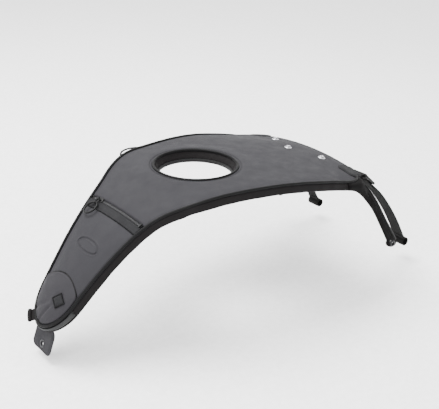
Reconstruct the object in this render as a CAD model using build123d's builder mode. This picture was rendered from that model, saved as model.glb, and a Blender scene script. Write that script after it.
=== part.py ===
from build123d import *
import math
import os

# A form-fitted motorcycle tank cover with a zipped rear pocket, in millimetres.
# +X points forward to the steering head, +Y to the rider's left and +Z up.
# The origin is the centre of the filler opening, level with the cover's top.

# ---- the cover's surface ---------------------------------------------------------------
FRONT_X = 232.0
CORNER_X = 188.0
CORNER_Y = 100.0
CORNER_SIDE_Y = 129.3
CORNER_MIDDLE = (217.0, 120.0)
FRONT_DROP = 3.8e-4
REAR_DROP = 3.3e-3
REAR_BEND_X = -30.0
HALF_WIDTH = [
    (-262, 34), (-252, 36), (-230, 41), (-215, 44.5), (-180, 54), (-134, 67), (-112, 76),
    (-90, 89), (-70, 99), (-50, 106), (0, 114), (50, 122), (90, 127), (125, 129), (240, 129),
]
CROWN = [
    (-262, 5), (-215, 8), (-180, 7), (-134, 4), (-90, 3.4), (-50, 3), (0, 3),
    (50, 4), (95, 6.5), (120, 9), (150, 12), (188, 16), (240, 17),
]
TAIL_X = -258.0
TAIL_START_X = -230.0
GRID = 14.0

# ---- layers, as depths under the outer surface -------------------------------------------
SKIN = 1.6
FOAM_TOP, FOAM_BOTTOM = 1.9, 4.6
LINER_TOP, LINER_BOTTOM = 1.9, 2.4
BACK_LINER_TOP, BACK_LINER_BOTTOM = 4.1, 4.6
LINING_TOP, LINING_BOTTOM = 5.0, 5.8
PIPING_R = 2.2
SKIN_INSET = 2 * PIPING_R + 0.5
SKIRT_HEIGHT = 12.0
SKIRT_T = 1.8

# ---- filler opening ------------------------------------------------------------------------
HEM_R = 52.5
RIM_R = 60.4
RIM_CORD_R = 2.0
COLLAR_T = 1.6
COLLAR_DEPTH = 12.0

# ---- zip -------------------------------------------------------------------------------------
ZIP_X = -134.0
CHAIN_HALF = 58.0
TEETH_INNER, TEETH_OUTER = 0.7, 3.0
TEETH_PITCH = 2.5
TAPE_EDGE = 8.2
TAPE_LEVEL, TAPE_T = -2.6, 0.6
PANEL_END_X = -129.0
POCKET_START_X = -145.5
PLACKET_START, PLACKET_END = 4.6, 13.5
PLACKET_PROUD = 0.8
SLIDER_Y = 39.0
SLIDER_LENGTH = 12.0
SLIDER_HALF = 4.6
BAIL_R = 0.6
LINK_LENGTH, LINK_HEIGHT, LINK_R = 11.0, 5.4, 0.55
RING_R, RING_WIRE_R = 10.0, 1.3
RING_TILT = 8.0

# ---- snap studs --------------------------------------------------------------------------------
STUDS = [(206.0, 52.0), (184.0, 0.0), (206.0, -52.0)]
STUD_R = 6.0
STUD_HEIGHT = 3.6
POST_R = 1.8

# ---- front straps ----------------------------------------------------------------------------------
STRAP_Y = 100.0
STRAP_WIDTH = 25.0
STRAP_T = 1.4
LOCK_X, LOCK_Z = 243.0, -37.5
LOCK_SLOPE = 40.0
LOCK_WIDTH, LOCK_T = 32.0, 3.5
BAR_R = 2.0
SLOT_LENGTH = 26.0
WING_Y = 130.4
WING_T = 2.4
EYELET_R = 3.3


def smooth(table, x):
    """Read a table of (x, value) rows as one smooth curve."""
    last = len(table) - 2
    i = max(k for k in range(last + 1) if x >= table[k][0] or k == 0)
    slopes = [
        (table[min(k + 1, last + 1)][1] - table[max(k - 1, 0)][1])
        / (table[min(k + 1, last + 1)][0] - table[max(k - 1, 0)][0])
        for k in (i, i + 1)
    ]
    span = table[i + 1][0] - table[i][0]
    t = (x - table[i][0]) / span
    return (
        (2 * t**3 - 3 * t**2 + 1) * table[i][1]
        + (t**3 - 2 * t**2 + t) * span * slopes[0]
        + (3 * t**2 - 2 * t**3) * table[i + 1][1]
        + (t**3 - t**2) * span * slopes[1]
    )


def half_width(x):
    return smooth(HALF_WIDTH, x)


def crown(x):
    return smooth(CROWN, x)


def centre_z(x):
    if x > 0:
        return -FRONT_DROP * x**2
    return -REAR_DROP * min(0.0, x - REAR_BEND_X) ** 2


def slope(x):
    """Fall of the centre line for each millimetre forward."""
    if x > 0:
        return -2 * FRONT_DROP * x
    return -2 * REAR_DROP * min(0.0, x - REAR_BEND_X)


def crown_radius(x):
    return (half_width(x) ** 2 + crown(x) ** 2) / (2 * crown(x))


def top_z(x, y):
    radius = crown_radius(x)
    return centre_z(x) - radius + math.sqrt(radius**2 - y**2)


def surface_point(x, y, lift=0.0):
    normal = surface_normal(x, y)
    return Vector(x, y, top_z(x, y)) + normal * lift


def surface_normal(x, y):
    step = 0.5
    along = (top_z(x + step, y) - top_z(x - step, y)) / (2 * step)
    across = (top_z(x, y + step) - top_z(x, y - step)) / (2 * step)
    return Vector(-along, -across, 1).normalized()


def surface_plane(x, y, lift=0.0):
    """Plane that touches the surface: its x runs forward and its y to the left."""
    normal = surface_normal(x, y)
    forward = Vector(0, 1, 0).cross(normal).normalized()
    return Plane(origin=surface_point(x, y, lift), x_dir=forward, z_dir=normal)


def stations(start, end):
    """Section places from start to end, on a grid that every layer shares."""
    first, last = math.ceil((start + 2) / GRID), math.floor((end - 2) / GRID)
    return [start, *(GRID * k for k in range(first, last + 1)), end]


def layer(start, end, inset, top, bottom):
    """Crowned sheet between two depths under the outer surface."""
    with BuildPart() as sheet:
        for x in stations(start, end):
            half = half_width(x) - inset
            stretch = math.sqrt(1 + slope(x) ** 2)
            with BuildSketch(Plane.YZ.offset(x)):
                with BuildLine():
                    levels = [top * stretch, bottom * stretch]
                    edge, middle = top_z(x, half), centre_z(x)
                    ThreePointArc(
                        (-half, edge - levels[0]), (0, middle - levels[0]), (half, edge - levels[0])
                    )
                    Line((half, edge - levels[0]), (half, edge - levels[1]))
                    ThreePointArc(
                        (half, edge - levels[1]), (0, middle - levels[1]), (-half, edge - levels[1])
                    )
                    Line((-half, edge - levels[1]), (-half, edge - levels[0]))
                make_face()
        loft()
    return sheet.part


def corner_cutter(inset):
    """Block outside the two rounded front corners."""
    with BuildPart() as cutter:
        for side in (1, -1):
            with BuildSketch(Plane.XY.offset(-120)):
                with BuildLine():
                    arc_start = (CORNER_X - inset, side * CORNER_SIDE_Y)
                    arc_middle = (CORNER_MIDDLE[0] - inset, side * (CORNER_MIDDLE[1] - inset))
                    arc_end = (FRONT_X - inset, side * (CORNER_Y - inset))
                    ThreePointArc(arc_start, arc_middle, arc_end)
                    Polyline(
                        arc_end,
                        (260, side * (CORNER_Y - inset)),
                        (260, side * 150),
                        (CORNER_X - inset, side * 150),
                        arc_start,
                    )
                make_face()
            extrude(amount=160)
    return cutter.part


def tail_cutter(inset):
    """Block outside the rounded tail."""
    half = half_width(TAIL_START_X) - inset
    with BuildPart() as cutter:
        with BuildSketch(Plane.XY.offset(-260)):
            with BuildLine():
                ThreePointArc(
                    (TAIL_START_X, half), (TAIL_X + inset, 0), (TAIL_START_X, -half)
                )
                Polyline(
                    (TAIL_START_X, -half),
                    (TAIL_START_X, -80),
                    (-290, -80),
                    (-290, 80),
                    (TAIL_START_X, 80),
                    (TAIL_START_X, half),
                )
            make_face()
        extrude(amount=220)
    return cutter.part


def tube(points, radius):
    """Round cord through the points, its sections square to its own line."""
    with BuildPart() as cord:
        for i, point in enumerate(points):
            ahead = points[min(i + 1, len(points) - 1)]
            behind = points[max(i - 1, 0)]
            with BuildSketch(Plane(origin=point, z_dir=(ahead - behind).normalized())):
                Circle(radius)
        loft()
    return cord.part


def save(piece, name):
    piece.part.label = name
    export_step(piece.part, f"parts/{name}.step")


os.makedirs("parts", exist_ok=True)

# ======== top panel, foam and lining ========

front_corners = corner_cutter(0.0)
inner_corners = corner_cutter(3.0)
stud_planes = [surface_plane(x, y) for x, y in STUDS]

skin_sheet = layer(PANEL_END_X, FRONT_X, SKIN_INSET, 0.0, SKIN)
with BuildPart() as top_panel:
    add(skin_sheet)
    add(front_corners, mode=Mode.SUBTRACT)
    with BuildSketch(Plane.XY.offset(-20)):
        Circle(RIM_R + RIM_CORD_R + 0.2)
    extrude(amount=40, mode=Mode.SUBTRACT)
    for plane in stud_planes:
        with BuildSketch(plane.offset(-5)):
            Circle(POST_R + 0.1)
        extrude(amount=10, mode=Mode.SUBTRACT)
save(top_panel, "top_panel")

foam_sheet = layer(-125.5, FRONT_X - 3, SKIN_INSET + 0.8, FOAM_TOP, FOAM_BOTTOM)
with BuildPart() as top_foam:
    add(foam_sheet)
    add(inner_corners, mode=Mode.SUBTRACT)
    with BuildSketch(Plane.XY.offset(-20)):
        Circle(RIM_R + 4.2)
    extrude(amount=40, mode=Mode.SUBTRACT)
    for plane in stud_planes:
        with BuildSketch(plane.offset(-8)):
            Circle(STUD_R + 0.4)
        extrude(amount=16, mode=Mode.SUBTRACT)
save(top_foam, "top_foam")

lining_sheet = layer(-256, FRONT_X - 3, SKIN_INSET + 0.4, LINING_TOP, LINING_BOTTOM)
tail_inside = tail_cutter(4.0)
with BuildPart() as base_lining:
    add(lining_sheet)
    add(inner_corners, mode=Mode.SUBTRACT)
    add(tail_inside, mode=Mode.SUBTRACT)
    with BuildSketch(Plane.XY.offset(-20)):
        Circle(RIM_R + 4.2)
    extrude(amount=40, mode=Mode.SUBTRACT)
save(base_lining, "base_lining")

hem_sheet = layer(FRONT_X - 2.4, FRONT_X + 1.6, SKIN_INSET, 2.0, 6.2)
with BuildPart() as front_hem:
    add(hem_sheet)
    with BuildSketch(Plane.XY.offset(-60)):
        with Locations((FRONT_X, 0)):
            Rectangle(12, 2 * (CORNER_Y - 4))
    extrude(amount=60, mode=Mode.INTERSECT)
save(front_hem, "front_hem")

# ======== rear pocket ========

tail_outside = tail_cutter(SKIN_INSET + 0.3)
pocket_layers = {
    "pocket_panel": (TAIL_X, POCKET_START_X, 0.0, SKIN),
    "pocket_liner_outer": (TAIL_X + 6, POCKET_START_X - 1, LINER_TOP, LINER_BOTTOM),
    "pocket_liner_inner": (TAIL_X + 6, POCKET_START_X - 1, BACK_LINER_TOP, BACK_LINER_BOTTOM),
}
for name, (rear, front, top, bottom) in pocket_layers.items():
    pocket_sheet = layer(rear, front, SKIN_INSET, top, bottom)
    with BuildPart() as pocket_layer:
        add(pocket_sheet)
        add(tail_outside, mode=Mode.SUBTRACT)
    save(pocket_layer, name)

# ======== filler opening: rim cord, collar and hem ========

with BuildPart() as filler_rim_piping:
    with BuildSketch(Plane.XZ):
        with Locations((RIM_R, -0.3)):
            Circle(RIM_CORD_R)
    revolve(axis=Axis.Z)
save(filler_rim_piping, "filler_rim_piping")

collar_base = (HEM_R + 2.4, -COLLAR_DEPTH)
with BuildPart() as filler_collar:
    with BuildSketch(Plane.XZ):
        with BuildLine():
            Polyline(
                (RIM_R + 0.3, -2.4),
                collar_base,
                (collar_base[0] + COLLAR_T, -COLLAR_DEPTH),
                (RIM_R + 0.3 + COLLAR_T, -2.4),
                close=True,
            )
        make_face()
    revolve(axis=Axis.Z)
save(filler_collar, "filler_collar")

with BuildPart() as filler_hem_ring:
    with BuildSketch(Plane.XZ):
        with Locations((HEM_R + 2.2, -COLLAR_DEPTH - 2.6)):
            RectangleRounded(4.4, 5.0, 0.5)
    revolve(axis=Axis.Z)
save(filler_hem_ring, "filler_hem_ring")

# ======== edge piping, skirts and tail binding ========

for side, word in ((1, "left"), (-1, "right")):
    edge_points = []
    for x in stations(TAIL_START_X, CORNER_X - 2):
        half = half_width(x) - PIPING_R
        edge_points.append(Vector(x, side * half, top_z(x, half) - 0.9))
    piping_cord = tube(edge_points, PIPING_R)
    with BuildPart() as edge_piping:
        add(piping_cord)
    save(edge_piping, f"edge_piping_{word}")

    with BuildPart() as skirt:
        for x in stations(TAIL_START_X, CORNER_X - 2):
            half = half_width(x)
            stretch = math.sqrt(1 + slope(x) ** 2)
            edge = top_z(x, half)
            upper, lower = edge - 3.6 * stretch, edge - SKIRT_HEIGHT * stretch
            with BuildSketch(Plane.YZ.offset(x)):
                with BuildLine():
                    Polyline(
                        (side * (half - SKIRT_T), upper),
                        (side * half, upper),
                        (side * (half + 3.0), lower),
                        (side * (half + 3.0 - SKIRT_T), lower),
                        close=True,
                    )
                make_face()
        loft()
    save(skirt, f"skirt_{word}")

tail_half = half_width(TAIL_START_X)
tail_radius = (tail_half**2 + (TAIL_START_X - TAIL_X) ** 2) / (2 * (TAIL_START_X - TAIL_X))
tail_centre_x = TAIL_X + tail_radius


def tail_band(inner, outer, top, bottom, start_x):
    """Part of a round band that follows the tail's edge."""
    strip = layer(TAIL_X - 3.5, TAIL_START_X + 2, -6.0, top, bottom)
    with BuildPart() as band:
        add(strip)
        with BuildSketch(Plane.XY.offset(-260)):
            with Locations((tail_centre_x, 0)):
                Circle(tail_radius + outer)
                Circle(tail_radius + inner, mode=Mode.SUBTRACT)
            with Locations((start_x - 50, 0)):
                Rectangle(100, 140, mode=Mode.INTERSECT)
        extrude(amount=220, mode=Mode.INTERSECT)
    return band.part


tail_parts = {
    "tail_piping": tail_band(-4.4, 0.0, -1.2, 3.0, TAIL_START_X - 1.6),
    "tail_skirt": tail_band(-SKIRT_T, 0.0, 3.4, 12.0, TAIL_START_X - 1.2),
    "tail_binding": tail_band(0.3, 2.9, 1.6, 9.0, TAIL_START_X - 8.0),
}
for name, solid in tail_parts.items():
    with BuildPart() as tail_piece:
        add(solid)
    save(tail_piece, name)

# ======== tail patch, badge, tab and anchor tongue ========

PATCH_FRONT_X, PATCH_SHOULDER_X, PATCH_REAR_X = -212.5, -219.0, -252.0
PATCH_HALF, PATCH_TAIL_HALF = 37.5, 35.5
patch_sheet = layer(TAIL_X, PATCH_FRONT_X, SKIN_INSET, -3.2, -0.2)
with BuildPart() as tail_patch:
    add(patch_sheet)
    with BuildSketch(Plane.XY.offset(-260)) as patch_plan:
        with BuildLine():
            ThreePointArc(
                (PATCH_SHOULDER_X, PATCH_HALF), (PATCH_FRONT_X, 0), (PATCH_SHOULDER_X, -PATCH_HALF)
            )
            Line((PATCH_SHOULDER_X, -PATCH_HALF), (TAIL_START_X, -PATCH_TAIL_HALF))
            ThreePointArc(
                (TAIL_START_X, -PATCH_TAIL_HALF), (PATCH_REAR_X, 0), (TAIL_START_X, PATCH_TAIL_HALF)
            )
            Line((TAIL_START_X, PATCH_TAIL_HALF), (PATCH_SHOULDER_X, PATCH_HALF))
        make_face()
        fillet(patch_plan.vertices().group_by(Axis.X)[-1], 4.0)
    extrude(amount=220, mode=Mode.INTERSECT)
save(tail_patch, "tail_patch")

BADGE_X, BADGE_Y, BADGE_TURN = -232.2, -16.0, 8.4
BADGE_LENGTH, BADGE_WIDTH = 21.0, 25.0
with BuildPart() as tail_badge:
    with BuildSketch(surface_plane(BADGE_X, BADGE_Y, 6.0).rotated((0, 0, BADGE_TURN))):
        with BuildLine():
            Polyline(
                (BADGE_LENGTH / 2, 0), (0, BADGE_WIDTH / 2),
                (-BADGE_LENGTH / 2, 0), (0, -BADGE_WIDTH / 2), close=True,
            )
        make_face()
    extrude(amount=1.2)
save(tail_badge, "tail_badge")

TAB_X, TAB_Y = -252.3, 21.6
TAB_R, TAB_WALL, TAB_LENGTH = 3.4, 1.5, 16.0
tab_edge = surface_point(TAB_X, TAB_Y, 0)
tab_centre = tab_edge + Vector(-0.872, 0.49, 0) * 6.8 + Vector(0, 0, -3.0)
tab_axis = Vector(0.43, 0.76, 0.49).normalized()
with BuildPart() as tail_side_tab:
    with BuildSketch(Plane(origin=tab_centre, z_dir=tab_axis)):
        Circle(TAB_R)
        Circle(TAB_R - TAB_WALL, mode=Mode.SUBTRACT)
    extrude(amount=TAB_LENGTH / 2, both=True)
save(tail_side_tab, "tail_side_tab")
print("side tab", tab_centre, "axis", tab_axis)

TONGUE_WIDTH, TONGUE_LENGTH, TONGUE_T = 46.0, 34.0, 2.0
tongue_top = surface_point(TAIL_X, 0, -13.0)
tongue_plane = Plane(
    origin=tongue_top + Vector(2.0, 0, 0), x_dir=(0, 1, 0), z_dir=(-0.94, 0, 0.34)
)
with BuildPart() as tail_tongue:
    with BuildSketch(tongue_plane):
        with Locations((0, TONGUE_LENGTH / 2)):
            RectangleRounded(TONGUE_WIDTH, TONGUE_LENGTH, 8.0)
        with Locations((0, TONGUE_LENGTH - 10)):
            Circle(EYELET_R + 1.6, mode=Mode.SUBTRACT)
    extrude(amount=TONGUE_T / 2, both=True)
save(tail_tongue, "tail_tongue")

eyelet_centre = tongue_plane.from_local_coords((0, TONGUE_LENGTH - 10, 0))
with BuildPart() as tail_eyelet:
    with BuildSketch(Plane(origin=eyelet_centre, x_dir=(0, 1, 0), z_dir=tongue_plane.z_dir)):
        Circle(EYELET_R + 1.5)
        Circle(EYELET_R, mode=Mode.SUBTRACT)
    extrude(amount=TONGUE_T / 2 + 0.8, both=True)
save(tail_eyelet, "tail_eyelet")
print("tail eyelet centre", eyelet_centre, "axis", tongue_plane.z_dir)

# ======== zip: tapes, teeth, stops and placket ========
# The chain lies on a circle about an axis along X, so that the slider turns about it.

chain_radius = crown_radius(ZIP_X)
chain_axis = Axis((0, 0, centre_z(ZIP_X) - chain_radius), (-1, 0, 0))
zip_fall = math.atan(slope(ZIP_X))


def zip_plane(y):
    """Plane on the zip line: x runs along the chain to the left, y down the slope, z out."""
    turn = math.asin(y / chain_radius)
    return Plane(
        origin=(ZIP_X, y, chain_axis.position.Z + chain_radius * math.cos(turn)),
        x_dir=(0, math.cos(turn), -math.sin(turn)),
        z_dir=(
            -math.sin(zip_fall),
            math.cos(zip_fall) * math.sin(turn),
            math.cos(zip_fall) * math.cos(turn),
        ),
    )


def chain_strip(inner, outer, low, high, reach):
    """Strip along the chain between two distances down the slope and two levels."""
    start = zip_plane(-reach)
    with BuildPart() as strip:
        with BuildSketch(Plane(origin=start.origin, x_dir=start.y_dir, z_dir=start.x_dir)):
            with Locations(((inner + outer) / 2, (low + high) / 2)):
                Rectangle(abs(outer - inner), high - low)
        revolve(axis=chain_axis, revolution_arc=2 * math.degrees(math.asin(reach / chain_radius)))
    return strip.part


zip_strips = {
    "zip_tape_upper": chain_strip(-TAPE_EDGE, -0.6, TAPE_LEVEL, TAPE_LEVEL + TAPE_T, CHAIN_HALF),
    "zip_tape_lower": chain_strip(0.6, TAPE_EDGE + 0.8, TAPE_LEVEL, TAPE_LEVEL + TAPE_T, CHAIN_HALF),
    "zip_placket": chain_strip(PLACKET_START, PLACKET_END, -SKIN, PLACKET_PROUD, CHAIN_HALF),
}
for name, solid in zip_strips.items():
    with BuildPart() as zip_strip:
        add(solid)
    save(zip_strip, name)

TEETH_TOP = -0.1
teeth_bottom = TAPE_LEVEL + TAPE_T
tooth_middle = (TEETH_INNER + TEETH_OUTER) / 2
TEETH_REACH = 55.0
teeth_count = int(2 * TEETH_REACH / TEETH_PITCH) + 1
for side, word in ((-1, "upper"), (1, "lower")):
    shift = 0.25 * side * TEETH_PITCH
    with BuildPart() as zip_teeth:
        for k in range(teeth_count):
            y = -TEETH_REACH + k * TEETH_PITCH + shift
            with Locations(zip_plane(y)):
                with Locations((0, side * tooth_middle, (TEETH_TOP + teeth_bottom) / 2)):
                    Box(1.4, TEETH_OUTER - TEETH_INNER, TEETH_TOP - teeth_bottom)
    save(zip_teeth, f"zip_teeth_{word}")

STOP_LENGTH = 2.0
left_stop = SLIDER_Y + SLIDER_LENGTH / 2 + STOP_LENGTH / 2 + 0.6
right_stop = -57.5
with BuildPart() as zip_stops:
    for y in (left_stop, right_stop):
        with Locations(zip_plane(y)):
            with Locations((0, 0, 1.1)):
                Box(STOP_LENGTH, 2 * TEETH_OUTER, 2.0)
save(zip_stops, "zip_stops")

# ======== zip slider, pull link and pull ring ========

slider_plane = zip_plane(SLIDER_Y)
PLATE_T = 1.0
TOP_PLATE_LOW, BOTTOM_PLATE_LOW = 0.1, -3.9
bail_z = 4.2
bail_half = 3.6
with BuildPart() as zip_slider:
    for low in (TOP_PLATE_LOW, BOTTOM_PLATE_LOW):
        with BuildSketch(slider_plane.offset(low)):
            RectangleRounded(SLIDER_LENGTH, 2 * SLIDER_HALF, 2.0)
        extrude(amount=PLATE_T)
    with Locations(slider_plane):
        with Locations((SLIDER_LENGTH / 2 - 1.6, 0, (BOTTOM_PLATE_LOW + PLATE_T + TOP_PLATE_LOW) / 2)):
            Box(1.8, 0.8, TOP_PLATE_LOW - BOTTOM_PLATE_LOW - PLATE_T)
        with Locations((0, SLIDER_HALF - 0.4, -0.6), (0, 0.4 - SLIDER_HALF, -0.6)):
            Box(SLIDER_LENGTH - 3, 0.8, 1.6)
        with Locations((bail_half - BAIL_R, 0, bail_z / 2 + 0.4), (BAIL_R - bail_half, 0, bail_z / 2 + 0.4)):
            Box(2 * BAIL_R, 2 * BAIL_R, bail_z - 0.8)
        with Locations((0, 0, bail_z)):
            Cylinder(BAIL_R, 2 * bail_half, rotation=(0, 90, 0))
save(zip_slider, "zip_slider")

link_inner_height = LINK_HEIGHT - 4 * LINK_R
link_axis = slider_plane.from_local_coords((0, 0, bail_z))
link_near = -0.65 - 2 * LINK_R
ring_wire_y = LINK_LENGTH + link_near - 2 * LINK_R - RING_WIRE_R - 0.05
link_drop = math.degrees(math.asin(0.3 / ring_wire_y))
bail_plane = Plane(
    origin=link_axis, x_dir=slider_plane.y_dir, z_dir=slider_plane.x_dir
).rotated((0, 0, -link_drop))
with BuildPart() as zip_pull_link:
    with BuildSketch(bail_plane):
        with Locations((link_near + LINK_LENGTH / 2, 0)):
            SlotOverall(LINK_LENGTH, LINK_HEIGHT)
            SlotOverall(LINK_LENGTH - 4 * LINK_R, link_inner_height, mode=Mode.SUBTRACT)
    extrude(amount=LINK_R, both=True)
save(zip_pull_link, "zip_pull_link")

ring_axis = bail_plane.from_local_coords((ring_wire_y, 0, 0))
ring_hinge_plane = Plane(
    origin=ring_axis, x_dir=slider_plane.y_dir, z_dir=slider_plane.x_dir
).rotated((0, 0, -RING_TILT))
ring_centre = ring_hinge_plane.from_local_coords((RING_R, 0, 0))
with BuildPart() as zip_pull_ring:
    with Locations(Plane(origin=ring_centre, x_dir=slider_plane.x_dir, z_dir=ring_hinge_plane.y_dir)):
        Torus(RING_R, RING_WIRE_R)
save(zip_pull_ring, "zip_pull_ring")

slider_far_y = -50.0
travel = math.asin(SLIDER_Y / chain_radius) - math.asin(slider_far_y / chain_radius)
print("slider axis z", chain_axis.position.Z, "radius", chain_radius, "travel deg", math.degrees(travel))
print("link axis", link_axis, "ring axis", ring_axis, "direction", slider_plane.x_dir)
print("ring centre", ring_centre)

# ======== snap studs and their backing washers ========

with BuildPart() as stud_caps:
    for plane in stud_planes:
        with BuildSketch(Plane(origin=plane.origin, x_dir=plane.x_dir, z_dir=-plane.y_dir)):
            with BuildLine():
                Polyline(
                    (0, -2.4), (POST_R, -2.4), (POST_R, 0.1), (STUD_R, 0.1), (STUD_R, 1.0),
                    (STUD_R - 0.8, 1.6), (3.6, 1.6), (3.2, 2.4), (3.6, 3.0), (3.2, STUD_HEIGHT),
                    (0, STUD_HEIGHT), close=True,
                )
            make_face()
        revolve(axis=Axis(plane.origin, plane.z_dir))
save(stud_caps, "stud_caps")

with BuildPart() as stud_washers:
    for plane in stud_planes:
        with BuildSketch(plane.offset(-4.0)):
            Circle(STUD_R)
        extrude(amount=1.5)
save(stud_washers, "stud_washers")
for plane in stud_planes:
    print("stud", plane.origin, plane.z_dir)

# ======== loop on the left edge ========

LOOP_START, LOOP_END = -62.0, -14.0
LOOP_INNER, LOOP_OUTER, LOOP_T = 8.5, 11.3, 2.4
loop_middle = (LOOP_START + LOOP_END) / 2
loop_level = top_z(loop_middle, half_width(loop_middle)) - 3.0


def beside_edge(x, gap):
    """Plan point at a distance outside the left edge."""
    return (x, half_width(x) + gap)


with BuildPart() as left_edge_loop:
    with BuildSketch(Plane.XY.offset(loop_level)):
        with BuildLine():
            ThreePointArc(
                beside_edge(LOOP_START, 0.3),
                beside_edge(loop_middle, LOOP_OUTER),
                beside_edge(LOOP_END, 0.3),
            )
            Line(beside_edge(LOOP_END, 0.3), beside_edge(LOOP_END - 6, 0.3))
            ThreePointArc(
                beside_edge(LOOP_END - 6, 0.3),
                beside_edge(loop_middle, LOOP_INNER),
                beside_edge(LOOP_START + 5, 0.3),
            )
            Line(beside_edge(LOOP_START + 5, 0.3), beside_edge(LOOP_START, 0.3))
        make_face()
    extrude(amount=LOOP_T)
save(left_edge_loop, "left_edge_loop")

# ======== front corners: patches, lock loops, ladder locks, straps and wings ========

lock_turn = math.radians(LOCK_SLOPE)
FRAME_LENGTH, FRAME_START = 30.0, -2.5
SLOTS = [(FRAME_START - 1, 7.2), (10.5, 15.5), (18.0, 23.0)]
LOOP_INNER_R, LOOP_OUTER_R = 2.1, 3.5
STRAP_ROUTE = [(281.0, -71.1), (303.0, -94.0), (328.0, -124.0), (350.0, -155.0), (361.0, -173.5)]
END_LOOP_R, END_NECK = 6.0, 9.0
RIDGE_R = 1.9
WING_UPPER = [
    (188.0, -31.5), (203.0, -33.5), (219.0, -41.0), (241.0, -61.0), (256.0, -81.0),
    (279.0, -113.0), (312.0, -157.0),
]
WING_LOWER = [
    (188.0, -41.5), (204.0, -47.5), (222.0, -62.0), (250.0, -93.0), (269.0, -120.0), (296.0, -159.0),
]
WING_END, WING_END_R = (307.0, -164.0), 11.5
end_x, end_z = STRAP_ROUTE[-1]
end_run = Vector(*STRAP_ROUTE[-1]) - Vector(*STRAP_ROUTE[-2])
end_direction = (end_run.X / end_run.length, 0, end_run.Y / end_run.length)
wing_corners = corner_cutter(-0.4)


def side_plane(y):
    """Upright plane at y whose own coordinates are X and Z."""
    return Plane(origin=(0, y, 0), x_dir=(1, 0, 0), z_dir=(0, -1, 0))


def lock_xz(u, n):
    """X and Z of a point given along the ladder lock and square to it."""
    return (
        LOCK_X + u * math.cos(lock_turn) + n * math.sin(lock_turn),
        LOCK_Z - u * math.sin(lock_turn) + n * math.cos(lock_turn),
    )


def rounding(points, share=0.45):
    """Radii that let each corner's arc take its share of the shorter run."""
    radii = []
    for before, corner, after in zip(points, points[1:], points[2:]):
        run_in = Vector(*corner) - Vector(*before)
        run_out = Vector(*after) - Vector(*corner)
        half_turn = math.radians(run_in.get_angle(run_out)) / 2
        radii.append(share * min(run_in.length, run_out.length) / math.tan(half_turn))
    return radii


strap_start = lock_xz(26.0, -2.8)
weave = [
    lock_xz(44.0, -5.3), lock_xz(9.4, -4.9), lock_xz(14.6, 2.6), lock_xz(19.0, 2.6),
    lock_xz(22.6, -2.8), strap_start,
]
strap_points = [lock_xz(26.1, -2.8), *STRAP_ROUTE]
strap_radii = rounding(strap_points)
print("strap radii", [round(r) for r in strap_radii])

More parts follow.
